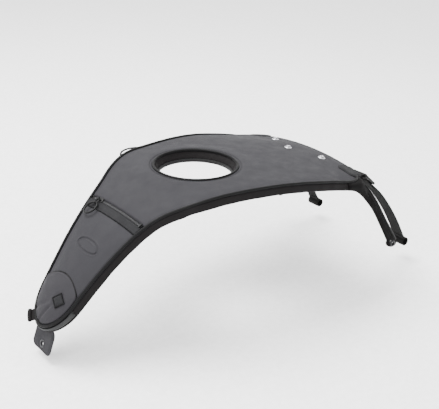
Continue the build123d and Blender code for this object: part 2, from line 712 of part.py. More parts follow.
for side, word in ((1, "left"), (-1, "right")):
    y = side * STRAP_Y
    patch_sheet = layer(202, FRONT_X - 0.5, SKIN_INSET, -1.6, -0.2)
    with BuildPart() as corner_patch:
        add(patch_sheet)
        with BuildSketch(Plane.XY.offset(-80)):
            with Locations((218.5, y)):
                RectangleRounded(28, 36, 6)
        extrude(amount=80, mode=Mode.INTERSECT)
        add(front_corners, mode=Mode.SUBTRACT)
    save(corner_patch, f"corner_patch_{word}")

    with BuildPart() as lock_loop:
        with BuildSketch(side_plane(y)):
            with Locations((LOCK_X, LOCK_Z)):
                Circle(LOOP_OUTER_R)
            with BuildLine():
                Polyline(
                    (234.0, -36.0), (234.0, -33.8), (244.6, -34.4), (241.2, -36.2), close=True,
                )
            make_face()
            with Locations((LOCK_X, LOCK_Z)):
                Circle(LOOP_INNER_R, mode=Mode.SUBTRACT)
        extrude(amount=STRAP_WIDTH / 2, both=True)
    save(lock_loop, f"lock_loop_{word}")

    lock_plane = Plane(
        origin=(LOCK_X, y, LOCK_Z),
        x_dir=(math.cos(lock_turn), 0, -math.sin(lock_turn)),
        z_dir=(math.sin(lock_turn), 0, math.cos(lock_turn)),
    )
    with BuildPart() as ladder_lock:
        with BuildSketch(lock_plane):
            with Locations((FRAME_START + FRAME_LENGTH / 2, 0)):
                RectangleRounded(FRAME_LENGTH, LOCK_WIDTH, 3.0)
            for start, end in SLOTS:
                with Locations(((start + end) / 2, 0)):
                    Rectangle(end - start, SLOT_LENGTH, mode=Mode.SUBTRACT)
        extrude(amount=LOCK_T / 2, both=True)
        with Locations(lock_plane):
            Cylinder(BAR_R, SLOT_LENGTH + 1.0, rotation=(90, 0, 0))
    save(ladder_lock, f"ladder_lock_{word}")

    with BuildPart() as strap_weave:
        with BuildSketch(side_plane(y)):
            with BuildLine():
                FilletPolyline(*weave, radius=0.9)
            trace(line_width=STRAP_T)
        extrude(amount=STRAP_WIDTH / 2, both=True)
    save(strap_weave, f"strap_weave_{word}")

    with BuildPart() as front_strap:
        with BuildSketch(side_plane(y)):
            with BuildLine():
                FilletPolyline(*strap_points, radius=strap_radii)
            trace(line_width=STRAP_T)
        extrude(amount=STRAP_WIDTH / 2, both=True)
    save(front_strap, f"front_strap_{word}")

    with BuildPart() as strap_end:
        with BuildSketch(Plane(origin=(end_x, y, end_z), x_dir=end_direction, z_dir=(0, -1, 0))):
            with Locations((END_NECK + END_LOOP_R, 0)):
                Circle(END_LOOP_R + STRAP_T)
            with Locations((END_NECK / 2, 0)):
                Rectangle(END_NECK, 2 * STRAP_T + 0.2)
            with Locations((END_NECK + END_LOOP_R, 0)):
                Circle(END_LOOP_R, mode=Mode.SUBTRACT)
        extrude(amount=STRAP_WIDTH / 2, both=True)
    save(strap_end, f"strap_end_{word}")

    wing_sheet = layer(CORNER_X - 1, 228, 1.6, 0.0, SKIN)
    with BuildPart() as wing_shoulder:
        add(wing_sheet)
        add(wing_corners, mode=Mode.INTERSECT)
        with BuildSketch(Plane.XY.offset(-80)):
            with Locations((CORNER_X + 20, side * 100)):
                Rectangle(40, 80)
        extrude(amount=80, mode=Mode.INTERSECT)
    save(wing_shoulder, f"wing_shoulder_{word}")

    with BuildPart() as wing_strap:
        with BuildSketch(side_plane(side * WING_Y)):
            with BuildLine():
                Spline(*WING_UPPER)
                Line(WING_UPPER[-1], WING_LOWER[-1])
                Spline(*WING_LOWER[::-1])
                Line(WING_LOWER[0], WING_UPPER[0])
            make_face()
            with Locations(WING_END):
                Circle(WING_END_R)
                Circle(EYELET_R + 1.6, mode=Mode.SUBTRACT)
        extrude(amount=WING_T / 2, both=True)
    save(wing_strap, f"wing_strap_{word}")

    with BuildPart() as wing_eyelet:
        with BuildSketch(side_plane(side * WING_Y)):
            with Locations(WING_END):
                Circle(EYELET_R + 1.5)
                Circle(EYELET_R, mode=Mode.SUBTRACT)
        extrude(amount=WING_T / 2 + 0.8, both=True)
    save(wing_eyelet, f"wing_eyelet_{word}")

    ridge_points = []
    for i, (px, pz) in enumerate(WING_UPPER):
        before = Vector(*WING_UPPER[max(i - 1, 0)])
        after = Vector(*WING_UPPER[min(i + 1, len(WING_UPPER) - 1)])
        run = (after - before).normalized()
        lift = RIDGE_R + 2.1
        ridge_points.append(Vector(px - run.Y * lift, side * WING_Y, pz + run.X * lift))
    ridge_cord = tube(ridge_points, RIDGE_R)
    with BuildPart() as wing_piping:
        add(ridge_cord)
    save(wing_piping, f"wing_piping_{word}")
print("strap end loop centre", end_x + end_direction[0] * (END_NECK + END_LOOP_R),
      end_z + end_direction[2] * (END_NECK + END_LOOP_R))
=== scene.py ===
import math

import bpy
import numpy as np
from mathutils import Matrix, Vector
from mathutils.geometry import delaunay_2d_cdt


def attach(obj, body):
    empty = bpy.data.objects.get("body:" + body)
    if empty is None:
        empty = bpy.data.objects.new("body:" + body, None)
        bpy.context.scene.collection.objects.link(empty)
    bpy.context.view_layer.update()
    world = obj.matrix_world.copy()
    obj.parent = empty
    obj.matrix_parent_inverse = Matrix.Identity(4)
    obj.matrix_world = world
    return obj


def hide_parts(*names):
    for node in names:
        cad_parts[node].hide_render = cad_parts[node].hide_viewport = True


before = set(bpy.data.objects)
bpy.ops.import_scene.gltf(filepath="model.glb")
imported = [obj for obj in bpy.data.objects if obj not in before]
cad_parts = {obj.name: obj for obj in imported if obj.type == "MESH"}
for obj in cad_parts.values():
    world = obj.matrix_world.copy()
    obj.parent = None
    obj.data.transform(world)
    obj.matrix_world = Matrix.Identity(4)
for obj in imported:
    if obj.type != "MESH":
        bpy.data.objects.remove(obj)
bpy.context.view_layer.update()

# A motorcycle tank cover in leatherette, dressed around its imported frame.
# Shapes are worked out in millimetres in the row frame: +X forward, +Y left, +Z up.
MM = 0.001
COVER = "cover"
SIDES = (("left", 1), ("right", -1))

# ---- driving dimensions, the same as the frame's ------------------------------------------
FRONT_X, CORNER_X, CORNER_Y = 232.0, 188.0, 100.0
TAIL_X, TAIL_START_X = -258.0, -230.0
FRONT_DROP, REAR_DROP, REAR_BEND_X = 3.8e-4, 3.3e-3, -30.0
HALF_WIDTH = [
    (-262, 34), (-252, 36), (-230, 41), (-215, 44.5), (-180, 54), (-134, 67), (-112, 76),
    (-90, 89), (-70, 99), (-50, 106), (0, 114), (50, 122), (90, 127), (125, 129), (240, 129),
]
CROWN = [
    (-262, 5), (-215, 8), (-180, 7), (-134, 4), (-90, 3.4), (-50, 3), (0, 3),
    (50, 4), (95, 6.5), (120, 9), (150, 12), (188, 16), (240, 17),
]
PIPING_R = 2.2
SEAM = 2 * PIPING_R + 0.1  # how far inside the cover's edge its skins end
HEM_R, RIM_R, RIM_CORD_R, COLLAR_DEPTH = 52.5, 60.4, 2.0, 12.0
LAND_R, LAND_LEVEL = 92.0, -0.5
ZIP_X = -134.0
PANEL_END_X, POCKET_START_X = -131.6, -145.5
WING_Y = 130.4
STRAP_Y, STRAP_WIDTH, STRAP_T = 100.0, 25.0, 1.4


# ======== small helpers ========

def unit(vectors):
    """Vectors scaled to a length of 1."""
    vectors = np.asarray(vectors, float)
    return vectors / np.maximum(np.linalg.norm(vectors, axis=-1, keepdims=True), 1e-12)


def turns(count):
    """Even angles once round a circle."""
    return np.linspace(0, 2 * np.pi, count, endpoint=False)


def polar(r, angles):
    """Plan points at a radius and angles."""
    return np.stack([r * np.cos(angles), r * np.sin(angles)], 1)


def close_loop(loop):
    """A loop with its first point again at its end."""
    return np.vstack([loop, loop[:1]])


def travel(path):
    """The length travelled to each point of a path."""
    return np.concatenate([[0], np.cumsum(np.linalg.norm(np.diff(path, axis=0), axis=1))])


def between(at, marks, rows):
    """Rows read at places between marks."""
    return np.stack([np.interp(at, marks, column) for column in rows.T], 1)


def tangents(path, closed=False):
    """Directions along a line, each from the points on either side."""
    if closed:
        return unit(np.roll(path, -1, 0) - np.roll(path, 1, 0))
    return unit(np.vstack([path[1:], path[-1:]]) - np.vstack([path[:1], path[:-1]]))


def bell(value, width):
    """A smooth bell, 1 at 0 and falling over width."""
    return np.exp(-(value / width) ** 2)


# ======== the cover's surface ========

def smooth(table, x):
    """Read a table of (x, value) rows as one smooth curve."""
    xs, values = np.array(table, float).T
    steps = np.diff(values) / np.diff(xs)
    slopes = np.concatenate([steps[:1], (values[2:] - values[:-2]) / (xs[2:] - xs[:-2]), steps[-1:]])
    x = np.asarray(x, float)
    i = np.clip(np.searchsorted(xs, x, side="right") - 1, 0, len(xs) - 2)
    span = xs[i + 1] - xs[i]
    t = (x - xs[i]) / span
    return (
        (2 * t**3 - 3 * t**2 + 1) * values[i]
        + (t**3 - 2 * t**2 + t) * span * slopes[i]
        + (3 * t**2 - 2 * t**3) * values[i + 1]
        + (t**3 - t**2) * span * slopes[i + 1]
    )


def half_width(x):
    """How far the cover's edge is from its middle line."""
    return smooth(HALF_WIDTH, x)


def smoothstep(low, high, value):
    """A smooth step from 0 at low to 1 at high."""
    t = np.clip((value - low) / (high - low), 0, 1)
    return t * t * (3 - 2 * t)


def plain_z(x, y):
    """Height of the crowned surface, without the flat land round the filler."""
    x, y = np.asarray(x, float), np.asarray(y, float)
    crown, half = smooth(CROWN, x), half_width(x)
    radius = (half**2 + crown**2) / (2 * crown)
    centre = np.where(x > 0, -FRONT_DROP * x**2, -REAR_DROP * np.minimum(0, x - REAR_BEND_X) ** 2)
    return centre - radius + np.sqrt(np.maximum(radius**2 - y**2, 0))


def surface_z(x, y):
    """Height of the cover's surface."""
    land = 1 - smoothstep(RIM_R + 1, LAND_R, np.hypot(x, y))
    z = plain_z(x, y)
    return z + land * (LAND_LEVEL - z)


def surface(xy, lift=0.0):
    """Points on the surface over plan points, moved out by lift along the normal."""
    xy = np.asarray(xy, float).reshape(-1, 2)
    (x, y), step = xy.T, 0.4
    along = (surface_z(x + step, y) - surface_z(x - step, y)) / (2 * step)
    across = (surface_z(x, y + step) - surface_z(x, y - step)) / (2 * step)
    normal = unit(np.stack([-along, -across, np.ones(len(x))], 1))
    point = np.stack([x, y, surface_z(x, y)], 1)
    return point + normal * (lift + 0 * x)[:, None], normal


# ======== mesh helpers ========

def add_mesh(name, shape, material, nodes=(), body=COVER, smooth_shade=True):
    """Make a piece from points in millimetres and faces, which rides on a body and may replace nodes."""
    points, faces = shape
    mesh = bpy.data.meshes.new(name)
    mesh.from_pydata((np.asarray(points, float) * MM).tolist(), [], [list(map(int, f)) for f in faces])
    mesh.validate()
    mesh.polygons.foreach_set("use_smooth", [smooth_shade] * len(mesh.polygons))
    mesh.update()
    obj = bpy.data.objects.new(name, mesh)
    bpy.context.scene.collection.objects.link(obj)
    obj.data.materials.append(material)
    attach(obj, body)
    if nodes:
        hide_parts(*nodes)
    return obj


def grid_faces(rows, columns, wrap_rows=False, wrap_columns=False):
    """Quads of a grid of points stored row by row."""
    faces = []
    for r in range(rows if wrap_rows else rows - 1):
        for c in range(columns if wrap_columns else columns - 1):
            a, b = r * columns + c, r * columns + (c + 1) % columns
            up = ((r + 1) % rows) * columns
            faces.append((a, b, up + (c + 1) % columns, up + c))
    return faces


def resample(points, step, closed=False):
    """Points about step apart along a line."""
    points = np.asarray(points, float)
    if closed:
        points = close_loop(points)
    along = travel(points)
    count = max(2, int(round(along[-1] / step)) + 1)
    line = between(np.linspace(0, along[-1], count), along, points)
    return line[:-1] if closed else line


def rounded_line(points, step=2.0):
    """A smooth line through the points, by a centripetal Catmull-Rom curve."""
    p = np.asarray(points, float)
    p = np.vstack([2 * p[0] - p[1], p, 2 * p[-1] - p[-2]])
    out = []
    for i in range(1, len(p) - 2):
        rows = list(p[i - 1:i + 3])
        knots = np.cumsum([0, *np.sqrt(np.linalg.norm(np.diff(rows, axis=0), axis=1))])
        t = np.linspace(knots[1], knots[2], 12, endpoint=i == len(p) - 3)[:, None]
        for spans in (((0, 1), (1, 2), (2, 3)), ((0, 2), (1, 3)), ((1, 2),)):
            rows = [
                ((knots[b] - t) * before + (t - knots[a]) * after) / (knots[b] - knots[a])
                for (a, b), before, after in zip(spans, rows, rows[1:])
            ]
        out.append(rows[0])
    return resample(np.vstack(out), step)


def inside(polygon, xy):
    """Which plan points lie inside a closed outline."""
    a, b = polygon, np.roll(polygon, -1, 0)
    x, y = xy[:, :1], xy[:, 1:2]
    crosses = (a[:, 1] > y) != (b[:, 1] > y)
    rise = np.where(b[:, 1] == a[:, 1], 1e-12, b[:, 1] - a[:, 1])
    at = a[:, 0] + (y - a[:, 1]) * (b[:, 0] - a[:, 0]) / rise
    return (crosses & (x < at)).sum(1) % 2 == 1


def within(loops, xy):
    """Which plan points lie inside the first outline and outside the others, its holes."""
    found = inside(loops[0], xy)
    for hole in loops[1:]:
        found &= ~inside(hole, xy)
    return found


def edge_distance(loops, xy):
    """How far each plan point is from the nearest outline, worked out in batches."""
    best, batch = np.full(len(xy), np.inf), 4000
    for a in loops:
        d = np.roll(a, -1, 0) - a
        length2 = np.maximum((d * d).sum(1), 1e-12)
        for start in range(0, len(xy), batch):
            rows = slice(start, start + batch)
            p = xy[rows, None]
            t = np.clip(((p - a) * d).sum(2) / length2, 0, 1)
            best[rows] = np.minimum(best[rows], np.linalg.norm(p - a - t[..., None] * d, axis=2).min(1))
    return best


def inset(loop, distance):
    """A closed outline moved inwards by a distance."""
    d = tangents(loop, closed=True)
    area = (loop[:, 0] * np.roll(loop[:, 1], -1) - np.roll(loop[:, 0], -1) * loop[:, 1]).sum()
    turn = 1 if area > 0 else -1
    return loop + turn * distance * np.stack([-d[:, 1], d[:, 0]], 1)


def panel(name, outline, lift, thickness, material, nodes=(), body=COVER, holes=(), step=3.0,
          edge_r=0.9, relief=None, fine=(), placed=None, round_back=False):
    """A sheet over the surface inside a plan outline, with rounded edges and a relief.

    fine holds (x0, y0, x1, y1) boxes of finer mesh with their steps, and placed maps plan points
    and a lift to points in the frame where the sheet doesn't lie on the cover's surface.
    """
    place = placed or surface
    outline = resample(outline, step, closed=True)
    holes = [resample(h, step, closed=True) for h in holes]
    loops = [outline, *holes]
    low, high = outline.min(0), outline.max(0)
    grid, row_share = [], 0.866
    for k, y in enumerate(np.arange(low[1], high[1], step * row_share)):
        xs = np.arange(low[0] + (k % 2) * step / 2, high[0], step)
        grid.append(np.stack([xs, np.full(len(xs), y)], 1))
    grid = np.vstack(grid)
    for (x0, y0, x1, y1), fine_step in fine:
        keep = (grid[:, 0] < x0) | (grid[:, 0] > x1) | (grid[:, 1] < y0) | (grid[:, 1] > y1)
        xs, ys = np.arange(x0, x1, fine_step), np.arange(y0, y1, fine_step)
        grid = np.vstack([grid[keep], np.stack(np.meshgrid(xs, ys), -1).reshape(-1, 2)])
    far = edge_distance(loops, grid)
    ok = within(loops, grid) & (far > edge_r + 0.45 * step)
    rings = [0.12 * edge_r, 0.4 * edge_r, edge_r]
    extra = [inset(outline, r) for r in rings] + [inset(h, -r) for h in holes for r in rings]
    points = np.vstack([*loops, *extra, grid[ok]])
    edges, start = [], 0
    for loop in loops:
        n = len(loop)
        edges += [(start + k, start + (k + 1) % n) for k in range(n)]
        start += n
    made = delaunay_2d_cdt([Vector(p) for p in points.tolist()], edges, [], 0, 1e-6)
    xy, tris = np.array([tuple(v) for v in made[0]]), np.array(made[2])
    tris = tris[within(loops, xy[tris].mean(1))]
    used, tris = np.unique(tris, return_inverse=True)
    xy, tris = xy[used], tris.reshape(-1, 3)
    a, b, c = xy[tris[:, 0]], xy[tris[:, 1]], xy[tris[:, 2]]
    (bx, by), (cx, cy) = (b - a).T, (c - a).T
    clockwise = bx * cy - by * cx < 0
    tris[clockwise] = tris[clockwise][:, ::-1]
    d = edge_distance(loops, xy)
    near = np.clip(1 - d / edge_r, 0, 1)
    fall = edge_r * (1 - np.sqrt(1 - near**2))
    fall = np.minimum(fall, thickness * (0.45 if round_back else 0.6))
    top, _ = place(xy, lift - fall + (relief(xy, d) if relief else 0.0))
    bottom, _ = place(xy, lift - thickness + (fall if round_back else 0.0))
    n = len(xy)
    half_edges = np.vstack([tris[:, [0, 1]], tris[:, [1, 2]], tris[:, [2, 0]]])
    known = set(map(tuple, half_edges.tolist()))
    rim = [(i, j) for i, j in known if (j, i) not in known]
    faces = [tuple(t) for t in tris.tolist()]
    faces += [tuple(n + i for i in t[::-1]) for t in tris.tolist()]
    faces += [(j, i, n + i, n + j) for i, j in rim]
    return add_mesh(name, (np.vstack([top, bottom]), faces), material, nodes, body)


def tube_mesh(path, radius, sides=14, closed=False, up=(0, 0, 1)):
    """Points and faces of a round tube along a line; its ends are domed."""
    path = np.asarray(path, float)
    n = len(path)
    tangent = tangents(path, closed)
    side = unit(np.cross(tangent, np.array(up, float)))
    lift = np.cross(side, tangent)
    radii = np.broadcast_to(np.asarray(radius, float), (n,))
    turn = turns(sides)[None, :, None]
    rounds = np.cos(turn) * side[:, None] + np.sin(turn) * lift[:, None]
    points = (path[:, None] + radii[:, None, None] * rounds).reshape(-1, 3)
    faces = grid_faces(n, sides, wrap_rows=closed, wrap_columns=True)
    if not closed:
        caps = [path[0] - tangent[0] * radii[0] * 0.5, path[-1] + tangent[-1] * radii[-1] * 0.5]
        points = np.vstack([points, caps])
        first, last = n * sides, n * sides + 1
        faces += [(first, (k + 1) % sides, k) for k in range(sides)]
        base = (n - 1) * sides
        faces += [(last, base + k, base + (k + 1) % sides) for k in range(sides)]
    return points, faces


def loft(rings):
    """Points and faces of a skin through rings of points, with flat ends."""
    rings = np.array(rings)
    rows, columns = rings.shape[:2]
    first, last = range(columns), range((rows - 1) * columns, rows * columns)
    faces = grid_faces(rows, columns, wrap_columns=True) + [tuple(first)[::-1], tuple(last)]
    return rings.reshape(-1, 3), faces


def join(parts):
    """One list of points and faces from several."""
    points, faces, start = [], [], 0
    for p, f in parts:
        points.append(np.asarray(p, float))
        faces += [tuple(start + i for i in face) for face in f]
        start += len(p)
    return np.vstack(points), faces


def lathe(profile, count, origin, axis):
    """Points and faces of a profile of (radius, height) turned about an axis."""
    axis = unit(axis)
    side = unit(np.cross(axis, (1.0, 0, 0) if abs(axis[0]) < 0.9 else (0, 1.0, 0)))
    rounds = polar(1.0, turns(count)) @ np.stack([side, np.cross(axis, side)])
    points = [np.asarray(origin, float) + rounds * r + axis * h for r, h in profile]
    return np.vstack(points), grid_faces(len(profile), count, wrap_columns=True)


def stitch_mesh(path, normal, pitch=3.6, length=2.5, radius=0.26):
    """A row of raised stitches along a line that lies on a surface."""
    path = np.asarray(path, float)
    normal, along = np.broadcast_to(normal, path.shape), travel(path)
    arch = np.array([[-0.6], [0.35], [0.6], [0.35], [-0.6]]) * radius
    parts = []
    for k in range(int((along[-1] - length) / pitch) + 1):
        at = k * pitch + np.linspace(0, length, 5)
        up = between(at[2:3], along, normal)[0]
        parts.append(tube_mesh(between(at, along, path) + arch * up, radius, sides=6, up=up))
    return join(parts)


# ======== materials ========

class Look:
    """A material being made, with short ways to add to it."""

    def __init__(self, name):
        self.material = bpy.data.materials.new(name)
        self.material.use_nodes = True
        self.tree = self.material.node_tree
        self.shader = self.tree.nodes["Principled BSDF"]
        self.place = self.add("ShaderNodeTexCoord").outputs["Object"]

    def feed(self, node, **inputs):
        """Give inputs numbers or other nodes' outputs, with _ for the spaces in their names."""
        for name, value in inputs.items():
            socket = node.inputs[name.replace("_", " ")]
            if isinstance(value, bpy.types.NodeSocket):
                self.tree.links.new(value, socket)
            else:
                socket.default_value = value

    def add(self, kind, **inputs):
        node = self.tree.nodes.new(kind)
        self.feed(node, **inputs)
        return node

    def noise(self, scale, detail=3.0):
        node = self.add("ShaderNodeTexNoise", Vector=self.place, Scale=scale, Detail=detail, Roughness=0.55)
        return node.outputs["Fac"]

    def remap(self, value, low, high, start=0.0, end=1.0):
        """A number between start and end turned into one between low and high."""
        ends = {"From_Min": start, "From_Max": end, "To_Min": low, "To_Max": high}
        return self.add("ShaderNodeMapRange", Value=value, **ends).outputs["Result"]

    def tone(self, colour, fac, spread):
        """A colour that varies from darker to lighter by spread, as fac goes from 0 to 1."""
        mix = self.add("ShaderNodeMix")
        mix.data_type = "RGBA"
        for socket, share in ((6, 1 - spread), (7, 1 + spread)):
            mix.inputs[socket].default_value = (*[min(1, c * share) for c in colour], 1)
        self.tree.links.new(fac, mix.inputs[0])
        self.feed(self.shader, Base_Color=mix.outputs[2])

    def bump(self, *heights):
        """Stack bump layers of (height, distance in mm, strength) into the shader's normal."""
        last = None
        for height, distance, strength in heights:
            node = self.add("ShaderNodeBump", Height=height, Distance=distance * MM, Strength=strength)
            if last:
                self.feed(node, Normal=last)
            last = node.outputs["Normal"]
        self.feed(self.shader, Normal=last)


def leatherette(name, colour, rough=0.68, grain_mm=1.1, sheen=0.01, spread=0.05, gloss=0.10):
    """Grained coated cloth: pebbled cells, fine pores and broad wear."""
    look = Look(name)
    cells = look.add("ShaderNodeTexVoronoi", Vector=look.place, Scale=1 / (grain_mm * MM))
    cells.feature = "DISTANCE_TO_EDGE"
    crease = look.remap(cells.outputs["Distance"], 0.0, 1.0, end=0.16)
    scuff = look.remap(look.noise(55), rough - 0.06, rough + 0.08, 0.3, 0.7)
    look.tone(colour, look.noise(14, 4), spread)
    look.feed(
        look.shader, Roughness=scuff, Sheen_Weight=sheen, Sheen_Roughness=0.45, Specular_IOR_Level=gloss,
    )
    look.bump((look.noise(60, 2), 0.5, 0.25), (crease, 0.10, 0.45), (look.noise(2600, 2), 0.05, 0.3))
    return look.material


def woven(name, colour, thread_mm=0.55, rough=0.85, sheen=0.05, depth=0.12):
    """Woven cloth: crossed threads with a little fuzz."""
    look = Look(name)
    both = look.add("ShaderNodeMath")
    both.operation = "MULTIPLY"
    for direction, socket in zip("XY", both.inputs):
        wave = look.add(
            "ShaderNodeTexWave", Vector=look.place, Scale=1 / (thread_mm * MM * math.tau), Distortion=0.6,
        )
        wave.bands_direction = direction
        look.tree.links.new(wave.outputs["Fac"], socket)
    fuzz = look.noise(900, 4)
    look.tone(colour, fuzz, 0.35)
    look.feed(
        look.shader, Roughness=rough, Sheen_Weight=sheen, Sheen_Roughness=0.5, Specular_IOR_Level=0.12,
    )
    look.bump((both.outputs["Value"], depth, 0.6), (fuzz, 0.05, 0.4))
    return look.material


def moulded(name, colour, rough=0.45, texture_scale=1800, depth=0.03, metallic=0.0, gloss=0.3):
    """Moulded plastic, rubber or painted metal with a fine surface."""
    look = Look(name)
    broad = look.noise(120)
    worn = look.remap(broad, rough - 0.08, rough + 0.1)
    look.tone(colour, broad, 0.12)
    look.feed(look.shader, Roughness=worn, Metallic=metallic, Specular_IOR_Level=gloss)
    look.bump((look.noise(texture_scale), depth, 0.35))
    return look.material


LEATHER = leatherette("leatherette", (0.0165, 0.0160, 0.0183))
PATCH_LEATHER = leatherette("patch_leatherette", (0.0165, 0.0157, 0.0180), grain_mm=1.3)
# A dark leatherette for the skirt, front binding and side tab. On the filler collar its darkness is painted
# shade.
DARK_LEATHER = leatherette("dark_leatherette", (0.0060, 0.0053, 0.0055), gloss=0.07)
# The wings' leatherette is the top's leatherette made much darker: painted shade for the wings, which hang
# in shadow below the front corners.
SHADED_WING_LEATHER = leatherette("wing_leatherette_painted_shade", (0.0025, 0.0022, 0.0023), rough=0.78, gloss=0.05)
PLACKET_LEATHER = leatherette("placket_leatherette", (0.0075, 0.0075, 0.0083))
# Near-black piping vinyl. The same colour also draws the painted shadow line above the tail pad.
PIPING_AND_PAD_SHADOW = leatherette("piping_vinyl_and_pad_shadow", (0.0018, 0.0018, 0.0020), rough=0.52, grain_mm=0.8, sheen=0.0)
BINDING = leatherette(
    "binding_vinyl", (0.012, 0.0125, 0.0128), rough=0.50, grain_mm=0.8, sheen=0.0, gloss=0.2,
)
FELT = woven("brushed_lining", (0.030, 0.030, 0.033), thread_mm=0.9, sheen=0.2, depth=0.2)
LINER = woven("nylon_liner", (0.020, 0.020, 0.022), thread_mm=0.5, rough=0.6)
FOAM = moulded("closed_cell_foam", (0.06, 0.06, 0.063), rough=0.85, texture_scale=900, depth=0.3)
TAPE = woven("zip_tape_weave", (0.012, 0.012, 0.013), thread_mm=0.4)
TEETH = moulded("zip_teeth_plastic", (0.014, 0.014, 0.015), rough=0.40)
THREAD = woven("thread", (0.015, 0.0145, 0.016), thread_mm=0.25, sheen=0.02, depth=0.06)
WEBBING = woven("webbing_weave", (0.0035, 0.0033, 0.0033), thread_mm=0.8, sheen=0.02)
SLIDER = moulded("slider_enamel", (0.002, 0.002, 0.0022), rough=0.45, gloss=0.14)
CHROME = moulded("stud_nickel", (0.42, 0.42, 0.44), rough=0.16, metallic=1.0, depth=0.01)
STEEL = moulded("washer_steel_finish", (0.32, 0.32, 0.33), rough=0.35, metallic=1.0)
EYELET = moulded("eyelet_black_steel", (0.025, 0.025, 0.027), rough=0.36, metallic=0.6)
PLASTIC = moulded("lock_acetal", (0.0035, 0.0035, 0.0038), rough=0.50, gloss=0.2)
# Black rubber for the filler's hem ring. The same black also paints shade into the snap studs' sockets.
RUBBER_AND_SOCKET_SHADE = moulded("hem_rubber_and_socket_shade", (0.005, 0.005, 0.0053), rough=0.6, texture_scale=1200, gloss=0.2)


# ======== camera ========

def aim_camera(azimuth, elevation, roll, place_mm, focal_px, wide_px):
    """A camera at a place, turned by its angles in degrees, with a lens for its focal length."""
    az, el, tilt = (math.radians(a) for a in (azimuth, elevation, roll))
    back = Vector((math.sin(az) * math.cos(el), -math.cos(az) * math.cos(el), math.sin(el)))
    level = Vector((math.cos(az), math.sin(az), 0))
    upright = back.cross(level)
    right = level * math.cos(tilt) + upright * math.sin(tilt)
    up = back.cross(right)
    data = bpy.data.cameras.new("camera")
    data.sensor_width = 36.0
    data.lens = 36.0 * focal_px / wide_px
    data.clip_start = 0.05
    camera = bpy.data.objects.new("camera", data)
    bpy.context.scene.collection.objects.link(camera)
    turn = Matrix((right, up, back)).transposed().to_4x4()
    camera.matrix_world = Matrix.Translation(Vector(place_mm) * MM) @ turn
    bpy.context.scene.camera = camera


aim_camera(-40.14, 23.87, 1.92, (-640.2, -815.1, 396.6), 777.0, 439.0)


# ======== webbing: the two front straps, which are the model's cords ========

LOCK_X, LOCK_Z, LOCK_SLOPE = 243.0, -37.5, math.radians(40.0)
END_LOOP_R, END_NECK = 6.0, 9.0


def lock_xz(u, n):
    """X and Z of a point along the ladder lock and square to it."""
    return (
        LOCK_X + u * math.cos(LOCK_SLOPE) + n * math.sin(LOCK_SLOPE),
        LOCK_Z - u * math.sin(LOCK_SLOPE) + n * math.cos(LOCK_SLOPE),
    )


STRAP_ROUTE = [
    lock_xz(26.1, -2.8), (281.0, -71.1), (303.0, -94.0), (328.0, -124.0), (350.0, -155.0),
    (361.0, -173.5),
]
WEAVE_ROUTE = [
    lock_xz(44.0, -5.3), lock_xz(9.4, -4.9), lock_xz(14.6, 2.6), lock_xz(19.0, 2.6),
    lock_xz(22.6, -2.8), lock_xz(26.0, -2.8),
]


def spline_line(name, points):
    """Even points along a NURBS spline through a route, in millimetres."""
    curve = bpy.data.curves.new(name, "CURVE")
    curve.dimensions = "3D"
    curve.resolution_u = 24
    spline = curve.splines.new("NURBS")
    spline.points.add(len(points) - 1)
    for point, place in zip(spline.points, points):
        point.co = (*[c * MM for c in place], 1)
    spline.order_u = 3
    spline.use_endpoint_u = True
    holder = bpy.data.objects.new(name, curve)
    mesh = holder.to_mesh()
    line = np.array([v.co for v in mesh.vertices]) / MM
    holder.to_mesh_clear()
    bpy.data.objects.remove(holder)
    bpy.data.curves.remove(curve)
    return line


def band_mesh(line, side_y, width, thickness, pitch=1.3):
    """A woven band along an XZ line: flat, with a rounded selvage and ribs across it."""
    line = resample(line, pitch / 4)
    tangent = tangents(line)
    normal = np.stack([-tangent[:, 1], tangent[:, 0]], 1)
    selvage = np.linspace(0.44, 0.5, 3)
    across = np.concatenate([-selvage[::-1], np.linspace(-0.42, 0.42, 29), selvage]) * width
    edge_width, chevron_width = 0.9, 3.2
    edge = np.clip((width / 2 - np.abs(across)) / edge_width, 0, 1)
    half = thickness / 2 * np.sqrt(np.maximum(1 - (1 - edge) ** 2, 0.02))
    rib_turn = 2 * np.pi * np.arange(len(line))[:, None] / 4
    rib = 0.10 * np.cos(rib_turn)
    chevron = 0.05 * np.cos(rib_turn + 2 * np.pi * across / chevron_width)
    rise = half + (rib + chevron - 0.12) * edge
    across = np.broadcast_to(np.concatenate([across, across[::-1]]), (len(line), 2 * len(across)))
    rise = np.concatenate([rise, -rise[:, ::-1]], 1)[..., None]
    point = line[:, None] + rise * normal[:, None]
    loop = np.stack([point[..., 0], side_y + across, point[..., 1]], -1)
    rows, columns = loop.shape[:2]
    faces = grid_faces(rows, columns, wrap_columns=True)
    for row, order in ((0, 1), (rows - 1, -1)):
        for c in range(columns // 2 - 1):
            a, b = row * columns + c, row * columns + columns - 1 - c
            faces.append((a, a + 1, b - 1, b)[::order])
    return loop.reshape(-1, 3), faces


